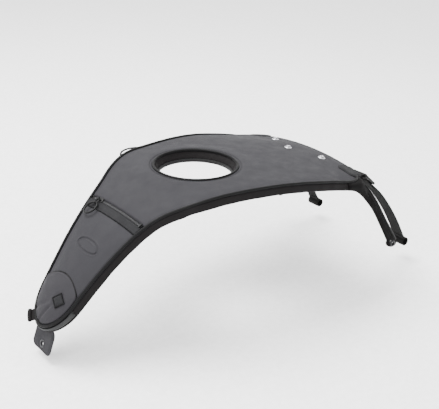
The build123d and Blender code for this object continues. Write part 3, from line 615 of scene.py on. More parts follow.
for word, side in SIDES:
    y = side * STRAP_Y
    body = f"strap_{word}_body"
    route = spline_line(f"strap_route_{word}", [(px, y, pz) for px, pz in STRAP_ROUTE])
    strap = add_mesh(
        f"front_webbing_{word}", band_mesh(route[:, [0, 2]], y, STRAP_WIDTH, STRAP_T),
        WEBBING, [f"front_strap_{word}"], body,
    )
    last, before = np.array(STRAP_ROUTE[-1]), np.array(STRAP_ROUTE[-2])
    run = unit(last - before)
    square = np.array([-run[1], run[0]])
    half_turn = math.pi - 0.26
    turn = np.linspace(half_turn, -half_turn, 40)
    loop_line = polar(END_LOOP_R + STRAP_T / 2, turn) @ np.stack([run, square])
    loop_line += last + run * (END_NECK + END_LOOP_R)
    lay = STRAP_T / 2 + 0.05
    neck = last + run * END_NECK * 0.8
    aside = square * lay
    eye_line = np.vstack([last + aside, neck + aside, loop_line, neck - aside, last - aside])
    eye = add_mesh(
        f"sewn_end_{word}", band_mesh(eye_line, y, STRAP_WIDTH - 0.2, STRAP_T),
        WEBBING, [f"strap_end_{word}"], body,
    )
    rows_of_stitches = []
    seam_y, seam_ends, seam_rows = 9.5, (0.8, END_NECK - 1.2), (0.12 * END_NECK, 0.85 * END_NECK)
    spans = [(*seam_ends, across, across) for across in (-seam_y, seam_y)]
    spans += [(far, far, -seam_y, seam_y) for far in seam_rows]
    for sign in (1, -1):
        up = np.array([sign * square[0], 0, sign * square[1]])
        for far_a, far_b, across_a, across_b in spans:
            a, b = (last + run * far + 2 * sign * aside for far in (far_a, far_b))
            line = [[a[0], y + across_a, a[1]], [b[0], y + across_b, b[1]]]
            rows_of_stitches.append(stitch_mesh(line, up, 2.6, 1.9, 0.24))
    stitches = add_mesh(f"end_stitches_{word}", join(rows_of_stitches), THREAD, body=body)
    weave_line = spline_line(f"weave_route_{word}", [(px, y, pz) for px, pz in WEAVE_ROUTE])[:, [0, 2]]
    add_mesh(
        f"lock_webbing_{word}", band_mesh(weave_line, y, STRAP_WIDTH, STRAP_T),
        WEBBING, [f"strap_weave_{word}"], body,
    )


# ======== the leatherette skin, its foam and its linings ========

TAIL_HALF = float(half_width(TAIL_START_X))


def arc_points(start, middle, end, count=24):
    """Points along the arc through three plan points."""
    a, b, c = (np.array(p, float) for p in (start, middle, end))
    rows = 2 * np.array([b - a, c - a])
    centre = np.linalg.solve(rows, [b @ b - a @ a, c @ c - a @ a])
    r = np.linalg.norm(a - centre)
    angles = np.unwrap([math.atan2(*(p - centre)[::-1]) for p in (a, b, c)])
    return centre + polar(r, np.linspace(angles[0], angles[2], count))


def side_edge(start, end, distance, step=4.0):
    """Plan points along the left side, a distance in from the edge."""
    x = np.linspace(start, end, max(2, int(abs(end - start) / step)))
    return np.stack([x, half_width(x) - distance], 1)


def corner_arc(distance):
    """The rounded left front corner, a distance in from the cover's edge, from side to front."""
    front_half, bend_x, bend_y = 129.0, 218.0, 119.5
    return arc_points(
        (CORNER_X - distance, front_half - distance), (bend_x - distance, bend_y - distance),
        (FRONT_X - distance * 0.3, CORNER_Y - distance),
    )


def front_outline(rear_x, front_x, distance, corner=None):
    """Closed outline of a layer that ends at the front hem, with its own inset at the corners."""
    turn_in = corner_arc(distance if corner is None else corner)
    left = np.vstack([side_edge(rear_x, CORNER_X - distance - 8, distance), turn_in])
    left[:, 0] = np.minimum(left[:, 0], front_x)
    return np.vstack([left, (left * (1, -1))[::-1]])


def tail_outline(front_x, distance):
    """Closed outline of a layer that ends at the rounded tail."""
    sides = side_edge(front_x, TAIL_START_X, distance)
    half = TAIL_HALF - distance
    tail = arc_points((TAIL_START_X, half), (TAIL_X + 0.58 * distance, 0), (TAIL_START_X, -half), 36)
    return np.vstack([sides, tail[1:-1], (sides * (1, -1))[::-1]])


def circle(x, y, r, count=96):
    return polar(r, turns(count)) + (x, y)


STUDS = [(206.0, 52.0), (184.0, 0.0), (206.0, -52.0)]


def soft_waves(xy):
    """The slight unevenness of a skin over foam."""
    x, y = xy.T
    return (
        0.22 * np.sin(x / 31 + 0.7) * np.cos(y / 27 - 0.4)
        + 0.14 * np.sin((x + 1.7 * y) / 19 + 1.3)
        + 0.07 * np.sin((x - 0.8 * y) / 9.5)
    )


def top_relief(xy, d):
    """A skin over foam that dips at the studs and swells round the filler's rim."""
    lift = 0.9 * smoothstep(0, 15, d) + soft_waves(xy) * smoothstep(2, 30, d)
    for x, y in STUDS:
        lift -= 0.9 * (1 - smoothstep(4.5, 15, np.hypot(xy[:, 0] - x, xy[:, 1] - y)))
    return lift + 0.5 * bell(np.hypot(*xy.T) - RIM_R - 9, 5)


def oval_distance(xy):
    """Roughly how far each plan point is outside the pocket's pressed oval."""
    half_x, half_y = 5.8, 22.5
    x, y = xy[:, 0] + 181.0, xy[:, 1] + 3.0
    share = np.hypot(x / half_x, y / half_y)
    slope = np.hypot(x / half_x**2, y / half_y**2) / np.maximum(share, 1e-6)
    return (share - 1) / np.maximum(slope, 1e-6)


def pocket_relief(xy, d):
    """A soft pocket front with a plain oval pressed into it."""
    lift = 1.1 * smoothstep(0, 16, d) + soft_waves(xy) * smoothstep(2, 24, d)
    far = np.abs(oval_distance(xy))
    lift -= 1.1 * (1 - smoothstep(0.4, 1.5, far))
    return lift + 0.45 * (1 - smoothstep(1.2, 3.0, far)) * smoothstep(0.9, 1.4, far)


PATCH_FRONT_X = -212.5

top_skin = panel(
    "top_skin", front_outline(PANEL_END_X, FRONT_X, SEAM, 2.2), 0.0, 1.6, LEATHER,
    ["top_panel"], holes=[circle(0, 0, RIM_R + 1.2)], step=3.0, edge_r=1.5, relief=top_relief,
    fine=[((x - 17, y - 17, x + 17, y + 17), 1.3) for x, y in STUDS],
)
pocket_skin = panel(
    "pocket_skin", tail_outline(POCKET_START_X, SEAM), 0.0, 1.6, LEATHER,
    ["pocket_panel"], step=3.0, edge_r=1.5, relief=pocket_relief,
    fine=[((-190.0, -27.0, -168.0, 27.0), 0.7)],
)
foam = panel(
    "foam_layer", front_outline(-125.5, FRONT_X - 3, SEAM + 0.9), -2.0, 2.6, FOAM,
    ["top_foam"], holes=[circle(0, 0, RIM_R + 4.2)], step=6.0, edge_r=0.8,
)
LINING_INSET = SEAM + 0.6
lining_end = TAIL_HALF - LINING_INSET
lining_tail = arc_points((TAIL_START_X, -lining_end), (TAIL_X + SEAM, 0), (TAIL_START_X, lining_end), 30)
lining_outline = np.vstack([front_outline(TAIL_START_X, FRONT_X - 3, LINING_INSET), lining_tail[1:-1]])
lining = panel(
    "quilted_lining", lining_outline, -5.0, 0.9, FELT, ["base_lining"],
    holes=[circle(0, 0, RIM_R + 4.2)], step=4.0, edge_r=0.5,
)
for name, lift, node in (("pocket_lining_outer", -1.9, "pocket_liner_outer"),
                         ("pocket_lining_inner", -4.1, "pocket_liner_inner")):
    liner = panel(
        name, tail_outline(POCKET_START_X - 1, SEAM + 0.8), lift, 0.5, LINER, [node],
        step=5.0, edge_r=0.3,
    )


# ======== edge cord, skirts and tail lip ========

def frames(path, normal):
    """Directions out from the cover, rearward at the path's middle, and up, square to the path."""
    tangent = tangents(path)
    outward = unit(np.cross(tangent, normal))
    outward *= -np.sign(outward[len(path) // 2, 0])
    upward = np.cross(outward, tangent)
    upward *= np.sign((upward * normal).sum(1))[:, None]
    return outward, upward


def outline_path(distance, lift, start_x=CORNER_X, step=3.0):
    """The cover's edge from the left front round the tail to the right, with its frames."""
    plan = resample(tail_outline(start_x, distance), step)
    x, level = plan[:, 0], 0 * plan[:, 0]
    rise = surface_z(x + 0.5, level) - surface_z(x - 0.5, level)
    normal = unit(np.stack([-rise, level, np.ones(len(x))], 1))
    path = surface(plan)[0] + normal * lift
    return path, *frames(path, normal)


def sweep(path, outward, upward, section):
    """Points and faces of a closed section of (out, up), or one for each point, along a path."""
    section = np.broadcast_to(section, (len(path), *np.shape(section)[-2:]))
    outward, upward = (np.broadcast_to(way, path.shape)[:, None] for way in (outward, upward))
    return loft(path[:, None] + section[..., :1] * outward + section[..., 1:] * upward)


def wing_lines(side):
    """The wing's upper and lower edges, matched point for point."""
    plan = [(183.0, 126.7), (198.0, 125.6), (211.0, 121.0), (221.0, 113.6)]
    on_skin, _ = surface(plan, -0.6)
    upper = np.vstack([on_skin, [
        (230.0, 114.5, -43.0), (237.5, 121.5, -53.0), (245.0, 127.6, -65.0), (256.0, 130.2, -80.5),
        (279.0, WING_Y, -112.5), (313.0, WING_Y, -157.5),
    ]])
    lower = np.array([
        (183.0, 132.0, -40.4), (192.0, 132.0, -42.6), (204.0, 131.9, -47.5), (213.0, 131.8, -54.0),
        (222.0, 131.6, -62.0), (232.0, 131.2, -72.5), (241.0, 131.0, -82.5), (250.0, WING_Y, -93.0),
        (269.0, WING_Y, -120.0), (297.0, WING_Y, -161.5),
    ])
    lines = [rounded_line(edge, 1.0) for edge in (upper, lower)]
    at = np.linspace(0, 1, 80)
    return [between(at, np.linspace(0, 1, len(line)), line) * (1, side, 1) for line in lines]


WINGS = {word: wing_lines(side) for word, side in SIDES}
cord_round, *_ = outline_path(PIPING_R, -0.1, start_x=182.0)
cord_points = np.vstack([WINGS["left"][0][:0:-1], cord_round, WINGS["right"][0][1:]])
edge_cord = resample(rounded_line(resample(cord_points, 9.0), 2.5), 2.5)
ripple = 1 + 0.012 * np.sin(np.arange(len(edge_cord)) * 1.7)
add_mesh(
    "edge_cord", tube_mesh(edge_cord, PIPING_R * ripple, 16), PIPING_AND_PAD_SHADOW,
    ["edge_piping_left", "edge_piping_right", "tail_piping", "wing_piping_left", "wing_piping_right"],
)

skirt_path, skirt_out, skirt_up = outline_path(0.0, 0.0, start_x=189.0, step=3.0)
skirt_line = np.array([
    (-2.2, -1.2), (-0.7, -2.6), (0.3, -4.2), (0.9, -6.0), (1.5, -8.0), (2.0, -9.6), (2.6, -10.6),
    (2.5, -11.6), (1.6, -12.0), (0.7, -11.4), (0.5, -10.2), (0.1, -8.6), (-0.6, -6.6),
    (-1.3, -4.8), (-2.3, -3.2), (-3.6, -1.9),
])
count = np.arange(len(skirt_path))
waves = 0.28 * np.sin(count * 0.31) + 0.16 * np.sin(count * 0.83)
skirt_section = np.tile(skirt_line, (len(skirt_path), 1, 1))
skirt_section[..., 0] += waves[:, None] * np.clip(-skirt_line[:, 1] / 12, 0, 1)
skirt = add_mesh(
    "edge_skirt", sweep(skirt_path, skirt_out, skirt_up, skirt_section),
    DARK_LEATHER, ["skirt_left", "skirt_right", "tail_skirt"],
)

lip_path, lip_out, lip_up = outline_path(0.0, 0.0, start_x=-236.0, step=2.0)
share = np.sin(np.linspace(0, np.pi, len(lip_path))) ** 0.35
lip_section = np.tile(polar(1.0, turns(16)) * (1.5, 3.9) + (1.5, -4.9), (len(lip_path), 1, 1))
lip_section[..., 0] = 0.2 + (lip_section[..., 0] - 0.2) * (0.35 + 0.65 * share[:, None])
add_mesh("tail_lip", sweep(lip_path, lip_out, lip_up, lip_section), BINDING, ["tail_binding"])
hem_line = np.linspace(-CORNER_Y + 1, CORNER_Y - 1, 90)
hem_path, _ = surface(np.stack([0 * hem_line + FRONT_X - 0.8, hem_line], 1), -2.0)
hem_section = polar(1.0, turns(16)) * (2.1, 2.5)
add_mesh("front_binding", sweep(hem_path, (1.0, 0, 0), (0, 0, 1.0), hem_section),
         DARK_LEATHER, ["front_hem"])


# ======== wings, which run down from the front corners ========

WING_SEAM = 0.62  # how far across the wing its seam runs


def wing_place(upper, lower, side):
    """A mapping from (along, across) millimetres of the flat wing to points in the frame."""
    along = travel(upper)
    width = np.linalg.norm(lower - upper, axis=1)
    cross = (lower - upper) / width[:, None]
    tangent = unit(np.gradient((upper + lower) / 2, axis=0))
    outward = unit(np.cross(tangent, cross))
    outward *= np.sign(outward[:, 1:2] * side)
    share = np.linspace(0, 1, len(upper))
    bulge = 2.2 + 4.5 * bell(share - 0.19, 0.11) - 1.2 * smoothstep(0.35, 0.6, share)
    table = np.column_stack([upper, cross, tangent, outward, width, bulge])

    def place(xy, lift):
        u, v = xy.T
        point, c, t, o, last = np.split(between(u, along, table), (3, 6, 9, 12), axis=1)
        w, rise = last.T
        beyond = np.maximum(u - along[-1], 0) - np.maximum(-u, 0)
        rise = rise * np.clip(4 * (v / w) * (1 - v / w), -0.4, 1) + lift
        return point + c * v[:, None] + t * beyond[:, None] + o * rise[:, None], o

    return place, along, width


for word, side in SIDES:
    place, along, width = wing_place(*WINGS[word], side)
    end_u, end_w = along[-1], width[-1]
    at = np.linspace(0, end_u, 90)
    top_edge = np.stack([at, np.full(90, 1.6)], 1)
    low_edge = np.stack([at, np.interp(at, along, width)], 1)
    lobe_centre = np.array([end_u + 1.0, end_w / 2 + 0.6])
    lobe = circle(*lobe_centre, 11.5, 60)
    lobe = lobe[np.abs(np.arctan2(lobe[:, 1] - end_w / 2, lobe[:, 0] - end_u)) < 2.0]
    lobe = lobe[np.argsort(np.arctan2(*(lobe - lobe_centre).T[::-1]))]
    outline = np.vstack([top_edge[:-4], lobe, low_edge[:-4][::-1]])

    def wing_relief(xy, d):
        u, v = xy.T
        seam = bell(v - WING_SEAM * np.interp(u, along, width), 0.8) * smoothstep(20, 40, u)
        return 0.9 * smoothstep(0, 6, d) - 0.9 * seam + 0.25 * np.sin(u / 11) * smoothstep(0, 10, d)

    # The wings are drawn in the darkened leatherette, which paints their shade.
    wing = panel(
        f"wing_{word}", outline, 0.4, 2.0, SHADED_WING_LEATHER,
        [f"wing_strap_{word}", f"wing_shoulder_{word}"], holes=[circle(*lobe_centre, 4.4, 32)],
        step=2.2, edge_r=0.9, relief=wing_relief, placed=place,
    )
    seam_at = np.linspace(32, end_u - 6, 120)
    seam_plan = np.stack([seam_at, WING_SEAM * np.interp(seam_at, along, width)], 1)
    add_mesh(f"wing_stitches_{word}", stitch_mesh(*place(seam_plan, 0.45)), THREAD)


# ======== patches ========

PATCH_X = 218.3


def octagon(half_x, half_y, cut):
    """Outline of a rectangle with its corners cut off."""
    a, b = half_x, half_y
    far_half = np.array([(a, b - cut), (a - cut, b), (cut - a, b), (-a, b - cut)])
    return resample(np.vstack([far_half, -far_half]), 1.5, closed=True)


for word, side in SIDES:
    centre = np.array([PATCH_X, side * STRAP_Y])
    patch = panel(
        f"corner_patch_soft_{word}", octagon(13.2, 17.5, 6.5), 1.7, 1.5,
        PLACKET_LEATHER, [f"corner_patch_{word}"], step=1.6, edge_r=0.8,
        relief=lambda xy, d: 0.5 * smoothstep(0.5, 5, d) - 0.35 * bell(d - 2.6, 0.5),
        placed=lambda xy, lift: surface(xy + centre, lift),
    )
    seam = surface(close_loop(octagon(10.6, 14.9, 5.4) + centre), 2.0)
    add_mesh(f"corner_stitches_{word}", stitch_mesh(*seam, 3.0, 2.1, 0.22), THREAD)


def rounded(outline, corners, r):
    """A closed outline with the corners at these places in it rounded off."""
    out = []
    for k, corner in enumerate(outline):
        if k not in corners:
            out.append(corner)
            continue
        before, after = outline[k - 1], outline[(k + 1) % len(outline)]
        a, b = corner + unit(before - corner) * r, corner + unit(after - corner) * r
        t = np.linspace(0, 1, 9)[:, None]
        out.extend((1 - t) ** 2 * a + 2 * t * (1 - t) * corner + t**2 * b)
    return np.array(out)


tail_edge = tail_outline(-221.0, SEAM + 0.5)
patch_top = arc_points((-219.0, -38.0), (PATCH_FRONT_X, 0), (-219.0, 38.0), 28)
patch_top = np.vstack([patch_top[:1], patch_top[3:-3], patch_top[-1:]])
patch_outline = np.vstack([tail_edge, patch_top])
patch_outline = rounded(patch_outline, {len(tail_edge), len(patch_outline) - 1}, 4.5)
# A thin near-black tube along the pad's top edge, in the piping's colour: a painted shadow line for the gap
# above the pad.
pad_shadow_line, _ = surface(arc_points((-219.6, -37.0), (PATCH_FRONT_X + 0.4, 0), (-219.6, 37.0), 40), 1.0)
add_mesh("pad_edge_painted_shadow", tube_mesh(pad_shadow_line, 0.95, 10), PIPING_AND_PAD_SHADOW)
BADGE_X, BADGE_Y, BADGE_TURN = -232.2, -16.0, math.radians(8.4)
BADGE_LENGTH, BADGE_WIDTH = 21.0, 25.0


def patch_relief(xy, d):
    """A stuffed pad with two creases from the badge down to its lower edge."""
    x, y = xy[:, 0], xy[:, 1]
    lift = 2.6 * np.sqrt(smoothstep(0, 17, d)) - 0.5 * bell(d - 2.6, 0.7)
    below = smoothstep(0, 6, BADGE_X - 3 - x)
    for spread in (0.75, 2.3):
        crease = (y - BADGE_Y - 3.0 - spread * (BADGE_X - x)) / math.sqrt(1 + spread**2)
        lift -= 1.5 * below * bell(crease, 1.9)
    lift -= 0.9 * (1 - smoothstep(6.0, 12.5, np.hypot((x - BADGE_X) * 1.3, y - BADGE_Y)))
    return lift + 0.2 * soft_waves(xy)


tail_pad = panel(
    "tail_pad", patch_outline, 2.3, 2.1, PATCH_LEATHER, ["tail_patch"],
    step=1.5, edge_r=1.9, relief=patch_relief,
)


# ======== badge: a plain diamond on its own tangent plane ========

def diamond(shrink, lift):
    """The badge's outline, shrunk, at a level over the tail pad."""
    (point,), (out,) = surface([(BADGE_X, BADGE_Y)])
    forward = unit(np.cross((0.0, 1.0, 0.0), out))
    left = np.cross(out, forward)
    long = forward * math.cos(BADGE_TURN) + left * math.sin(BADGE_TURN)
    short = left * math.cos(BADGE_TURN) - forward * math.sin(BADGE_TURN)
    a, b = BADGE_LENGTH / 2 - shrink, BADGE_WIDTH / 2 - shrink * 1.2
    return [point + out * lift + long * u + short * v for u, v in ((a, 0), (0, b), (-a, 0), (0, -b))]


badge_rings = [diamond(*row) for row in (
    (-0.5, 2.8), (-0.4, 4.9), (0.1, 5.6), (1.2, 5.7), (1.5, 5.4), (1.6, 4.7),
)]
add_mesh(
    "badge_frame", (np.vstack(badge_rings), grid_faces(len(badge_rings), 4, wrap_columns=True)),
    PIPING_AND_PAD_SHADOW, ["tail_badge"], smooth_shade=False,
)
facet_rings = [diamond(*row) for row in ((1.6, 4.3), (1.9, 5.0), (6.6, 5.9))]
facet_faces = grid_faces(3, 4, wrap_columns=True) + [(8, 9, 10, 11)]
add_mesh("badge_facet", (np.vstack(facet_rings), facet_faces), PLACKET_LEATHER,
         smooth_shade=False)


# ======== zip: tape, teeth, placket ========

ZIP_SLIDER_Y, TAPE_REACH, FLAP_REACH, FIRST_TOOTH_Y = 39.0, 58.0, 61.5, -55.0
zip_crown = float(smooth(CROWN, ZIP_X))
chain_radius = (float(half_width(ZIP_X)) ** 2 + zip_crown**2) / (2 * zip_crown)
chain_centre_z = -REAR_DROP * (ZIP_X - REAR_BEND_X) ** 2 - chain_radius
zip_fall = math.atan(-2 * REAR_DROP * (ZIP_X - REAR_BEND_X))


def zip_frame(y):
    """Origin, along-the-chain, down-the-slope and outward directions at a place on the zip."""
    turn = math.asin(y / chain_radius)
    along = np.array([0, math.cos(turn), -math.sin(turn)])
    out = np.array([
        -math.sin(zip_fall), math.cos(zip_fall) * math.sin(turn), math.cos(zip_fall) * math.cos(turn),
    ])
    origin = np.array([ZIP_X, y, chain_centre_z + chain_radius * math.cos(turn)])
    return origin, along, np.cross(out, along), out


def zip_band(section, reach, step=1.5, wave=0.0):
    """A band along the chain from a section of (down the slope, out)."""
    at = np.linspace(-reach, reach, int(2 * reach / step))
    rows = []
    for k, y in enumerate(at):
        origin, _, down, out = zip_frame(y)
        ripple = wave * math.sin(k * 0.9) + 0.6 * wave * math.sin(k * 0.37)
        rows.append([origin + down * u + out * (v + (ripple if v > 0 else 0)) for u, v in section])
    return loft(rows)


add_mesh(
    "zip_tape", zip_band([(-9, -1.9), (9, -1.9), (9, -2.5), (-9, -2.5)], TAPE_REACH), TAPE,
    ["zip_tape_upper", "zip_tape_lower"],
)
placket_section = [
    (2.3, -1.7), (2.2, 0.1), (2.6, 0.7), (3.6, 1.0), (5.2, 0.85), (7.5, 1.25), (10.0, 1.0),
    (11.6, 0.85), (12.8, 1.0), (13.6, 0.6), (13.8, -0.2), (13.7, -1.7),
]
flap = zip_band(placket_section, FLAP_REACH, wave=0.06)
placket = add_mesh("zip_flap", flap, PLACKET_LEATHER, ["zip_placket"])


def zip_line(down_mm, level, reach):
    """A line along the chain and its outward directions."""
    framed = [zip_frame(y) for y in np.linspace(-reach, reach, 60)]
    line = np.array([o + d * down_mm + n * level for o, _, d, n in framed])
    return line, np.array([n for *_, n in framed])


zip_seams = [stitch_mesh(*zip_line(down_mm, level, TAPE_REACH), 3.0, 2.1, 0.24)
             for down_mm, level in ((3.9, 1.0), (12.0, 0.95), (-4.6, 0.25))]
add_mesh("zip_stitches", join(zip_seams), THREAD)


def tooth(y, side):
    """One rounded tooth that reaches across the chain's middle."""
    origin, along, down, out = zip_frame(y)
    rings = []
    for shrink, level in ((0.0, -2.0), (0.0, -0.5), (0.18, -0.15), (0.45, 0.0)):
        a, low, high = 0.62 - shrink, -0.35 + shrink, 2.0 - shrink
        corners = ((-a, low), (-a * 0.7, low - 0.25), (a * 0.7, low - 0.25), (a, low), (a, high), (-a, high))
        rings.append([origin + along * u + down * (side * v) + out * level for u, v in corners])
    return loft(rings)


TEETH_PITCH, TEETH_COUNT = 2.5, 45
for word, side in (("upper", -1), ("lower", 1)):
    teeth = [tooth(FIRST_TOOTH_Y + TEETH_PITCH * (k + 0.25 * side), side) for k in range(TEETH_COUNT)]
    add_mesh(f"teeth_{word}", join(teeth), TEETH, [f"zip_teeth_{word}"])


# ======== zip slider, link and ring ========

origin, along, down, out = zip_frame(ZIP_SLIDER_Y)


def slider_point(u, v, n):
    """Points along the chain, down the slope and outward from the slider's place on the zip."""
    return origin + sum(np.multiply.outer(far, way) for far, way in ((u, along), (v, down), (n, out)))


def squarish(angles, half_x, half_y, power):
    """Points of an oval, squarer for a lower power."""
    sides = np.stack([np.cos(angles), np.sin(angles)], 1)
    return np.sign(sides) * np.abs(sides) ** power * (half_x, half_y)


def slider_plate(levels):
    """A rounded plate, narrower at its rear, through (level, shrink) rings."""
    length, half, nose = 12.0, 4.6, 0.25
    rings = []
    for level, shrink in levels:
        u, v = squarish(turns(32), length / 2 - shrink, half - shrink, 0.6).T
        rings.append(slider_point(u, v * (1 - nose * (0.5 - u / length)), level))
    return loft(rings)


bail_turn = np.linspace(0, np.pi, 18)
bail = slider_point(-3.1 * np.cos(bail_turn), 0, 0.9 + 3.3 * np.sin(bail_turn) ** 0.75)
slider_parts = [
    slider_plate([(0.1, 0.3), (0.3, 0.0), (0.9, 0.0), (1.3, 0.25), (1.5, 0.8), (1.7, 1.6)]),
    slider_plate([(-3.9, 0.4), (-3.6, 0.0), (-3.1, 0.0), (-2.9, 0.3)]),
    tube_mesh(bail, 0.62, 12, up=down),
]
for v in (-4.1, 4.1):
    u = np.linspace(-4, 4, 12)
    slider_parts.append(tube_mesh(slider_point(u, v * (1 - 0.012 * np.abs(u)), 0.1), 0.75, 10))
add_mesh("slider_body", join(slider_parts), SLIDER, ["zip_slider"], "zip_slider_body")

LINK_AXIS = np.array([-136.377, 39.2398, -33.5905])
RING_AXIS = np.array([-141.989, 39.2209, -37.4295])
RING_CENTRE = np.array([-150.208, 39.9802, -43.075])
RING_R, RING_WIRE_R = 10.0, 1.3
LINK_START, LINK_END, LINK_ARCH, LINK_WIRE_R = -1.2, 8.7, 2.15, 0.55
link_run = unit(RING_AXIS - LINK_AXIS)
link_up = np.cross(link_run, along)
link_up *= np.sign(link_up @ out)
arch = polar(LINK_ARCH, np.linspace(-np.pi / 2, np.pi / 2, 12))
link_plan = np.vstack([arch + (LINK_END - LINK_ARCH, 0), -arch + (LINK_START + LINK_ARCH, 0)])
link_line = resample(LINK_AXIS + link_plan @ [link_run, link_up], 0.5, closed=True)
add_mesh("link_wire", tube_mesh(link_line, LINK_WIRE_R, 12, closed=True, up=along), SLIDER,
         ["zip_pull_link"], "pull_link_body")

ring_run = unit(RING_CENTRE - RING_AXIS)
ring_turn = turns(72)
ring_line = RING_CENTRE + polar(RING_R, ring_turn) @ [ring_run, along]
ring_wire = RING_WIRE_R + 0.04 * np.cos(3 * ring_turn)
add_mesh("pull_ring_wire", tube_mesh(ring_line, ring_wire, 16, closed=True, up=np.cross(ring_run, along)),
         SLIDER, ["zip_pull_ring"], "pull_ring_body")


# ======== filler opening ========

rim_turn = turns(180)
rim_line = np.column_stack([polar(RIM_R, rim_turn), np.full(180, -0.3)])
rim_mesh = tube_mesh(rim_line, RIM_CORD_R * (1 + 0.012 * np.sin(23 * rim_turn)), 16, closed=True)
add_mesh("rim_cord", rim_mesh, PIPING_AND_PAD_SHADOW, ["filler_rim_piping"])

collar_rows = []
for share in np.linspace(0, 1, 12):
    bow = math.sin(math.pi * share)
    pleat = 0.28 * bow * (np.sin(24 * rim_turn) + 0.5 * np.sin(37 * rim_turn + 1))
    r = RIM_R + 0.4 - 6.0 * share - 0.8 * bow + pleat
    level = -1.6 - (COLLAR_DEPTH - 1.4) * share
    collar_rows.append(np.column_stack([polar(r, rim_turn), np.full(180, level)]))
wider = 1 + 1.3 / RIM_R
outer_rows = [row * (wider, wider, 1) for row in collar_rows[::-1]]
collar_mesh = np.vstack(collar_rows + outer_rows), grid_faces(24, 180, wrap_rows=True, wrap_columns=True)
# The collar is drawn in the dark leatherette: painted shade for the inside of the filler opening.
collar = add_mesh("collar_cloth", collar_mesh, DARK_LEATHER, ["filler_collar"])
hem_profile = np.array([
    (0.4, -12.3), (0.1, -13.0), (0, -14.0), (0, -15.4), (0.15, -16.4), (0.9, -17.1), (2.2, -17.2),
    (3.6, -17.0), (4.3, -16.2), (4.4, -14.4), (4.1, -12.9), (3.2, -12.1), (1.6, -12.0),
]) + (HEM_R, 0)
hem_mesh = lathe(close_loop(hem_profile), 180, (0, 0, 0), (0, 0, 1))
add_mesh("hem_ring", hem_mesh, RUBBER_AND_SOCKET_SHADE, ["filler_hem_ring"])
rim_seam = surface(close_loop(circle(0, 0, RIM_R + 5.4, 240)), 0.85)
add_mesh("rim_stitches", stitch_mesh(*rim_seam, 3.8, 2.6, 0.24), THREAD)


# ======== snap studs ========

stud_profile = [
    (0.5, -1.0), (5.6, -0.4), (6.0, 0.2), (6.05, 0.7), (5.7, 1.25), (5.1, 1.6), (4.4, 1.6), (3.7, 1.35),
    (3.3, 1.6), (3.2, 2.4), (3.35, 2.7), (3.6, 3.0), (3.55, 3.3), (3.2, 3.6), (2.6, 3.6), (2.2, 3.4),
    (2.05, 2.9),
]
well_profile = [(2.15, 3.2), (2.0, 2.7), (1.2, 2.45), (0.05, 2.4)]
stud_places = list(zip(*surface(STUDS)))
# The wells in the studs' middles are black: painted shade of their sockets.
for name, profile, material, nodes in (("stud_domes", stud_profile, CHROME, ["stud_caps"]),
                                       ("stud_wells_painted_shade", well_profile, RUBBER_AND_SOCKET_SHADE, [])):
    turned = join([lathe(profile, 40, *place) for place in stud_places])
    add_mesh(name, turned, material, nodes)


# ======== ladder locks and lock loops ========

def flat_place(origin, run, out, bow=0.0):
    """A mapping from (along, across) to points of a plane that crosses the cover, bowed outward."""
    def place(xy, lift):
        rise = bow * xy[:, 1] ** 2 + lift
        return origin + xy[:, :1] * run + xy[:, 1:2] * (0, 1.0, 0) + rise[:, None] * out, out
    return place


def rounded_box(x0, x1, half, r, step=0.8):
    """Outline of a rectangle with round corners."""
    corners = ((x1 - r, half - r), (x0 + r, half - r), (x0 + r, r - half), (x1 - r, r - half))
    arcs = [polar(r, np.linspace(k, k + 1, 7) * np.pi / 2) + corner for k, corner in enumerate(corners)]
    return resample(np.vstack(arcs), step, closed=True)


def lock_relief(xy, d):
    """A raised lip at the lock's front end, and a worn bar between its slots."""
    bar = 1 - smoothstep(0.4, 1.2, np.abs(xy[:, 0] - 8.85))
    return 0.5 * smoothstep(24.0, 27.0, xy[:, 0]) - 0.25 * bar


SLOTS = [(2.2, 7.2), (10.5, 15.5), (18.0, 23.0)]
LOCK_RUN = np.array([math.cos(LOCK_SLOPE), 0, -math.sin(LOCK_SLOPE)])
LOCK_OUT = np.array([math.sin(LOCK_SLOPE), 0, math.cos(LOCK_SLOPE)])
for word, side in SIDES:
    y = side * STRAP_Y
    body = f"strap_{word}_body"
    place = flat_place(np.array([LOCK_X, y, LOCK_Z]), LOCK_RUN, LOCK_OUT)
    panel(
        f"lock_frame_{word}", rounded_box(-2.2, 27.5, 16.0, 3.4), 1.75, 3.5, PLASTIC,
        [f"ladder_lock_{word}"], body, holes=[rounded_box(a, b, 13.0, 0.8) for a, b in SLOTS], step=1.2,
        edge_r=1.1, placed=place, round_back=True, relief=lock_relief,
    )
    ridges = [place(np.array([(u, -11.0), (u, 11.0)]), 2.25)[0] for u in (24.3, 25.5, 26.7)]
    grips = join([tube_mesh(resample(ridge, 1.5), 0.32, 8) for ridge in ridges])
    add_mesh(f"lock_grips_{word}", grips, PLASTIC, body=body)
    around = polar(2.85, np.radians(np.linspace(120, -150, 26))) + (LOCK_X, LOCK_Z)
    loop_line = np.vstack([[(229.5, -34.0), (236.0, -34.2)], around, [(236.0, -37.6), (230.0, -37.2)]])
    loop_mesh = band_mesh(rounded_line(loop_line, 0.5), y, STRAP_WIDTH, 1.35)
    add_mesh(f"loop_webbing_{word}", loop_mesh, WEBBING, [f"lock_loop_{word}"])


# ======== tail tongue, eyelets, side tab and edge loop ========

EYELET_PROFILE = [
    (3.3, -1.6), (3.3, 1.5), (3.5, 1.85), (4.0, 1.95), (4.9, 1.75), (5.6, 1.3), (5.7, 1.0), (5.0, 0.95),
    (5.0, -0.95), (5.7, -1.0), (5.6, -1.3), (4.9, -1.75), (4.0, -1.95), (3.5, -1.85), (3.3, -1.6),
]
TONGUE_AXIS = np.array([-0.940376, 0, 0.340136])
TONGUE_EYELET = np.array([-253.336, 0, -201.311])
tongue_run = np.cross(TONGUE_AXIS, (0, 1.0, 0))
tongue_run *= -np.sign(tongue_run[2])
tongue_place = flat_place(TONGUE_EYELET, tongue_run, TONGUE_AXIS, bow=0.0016)

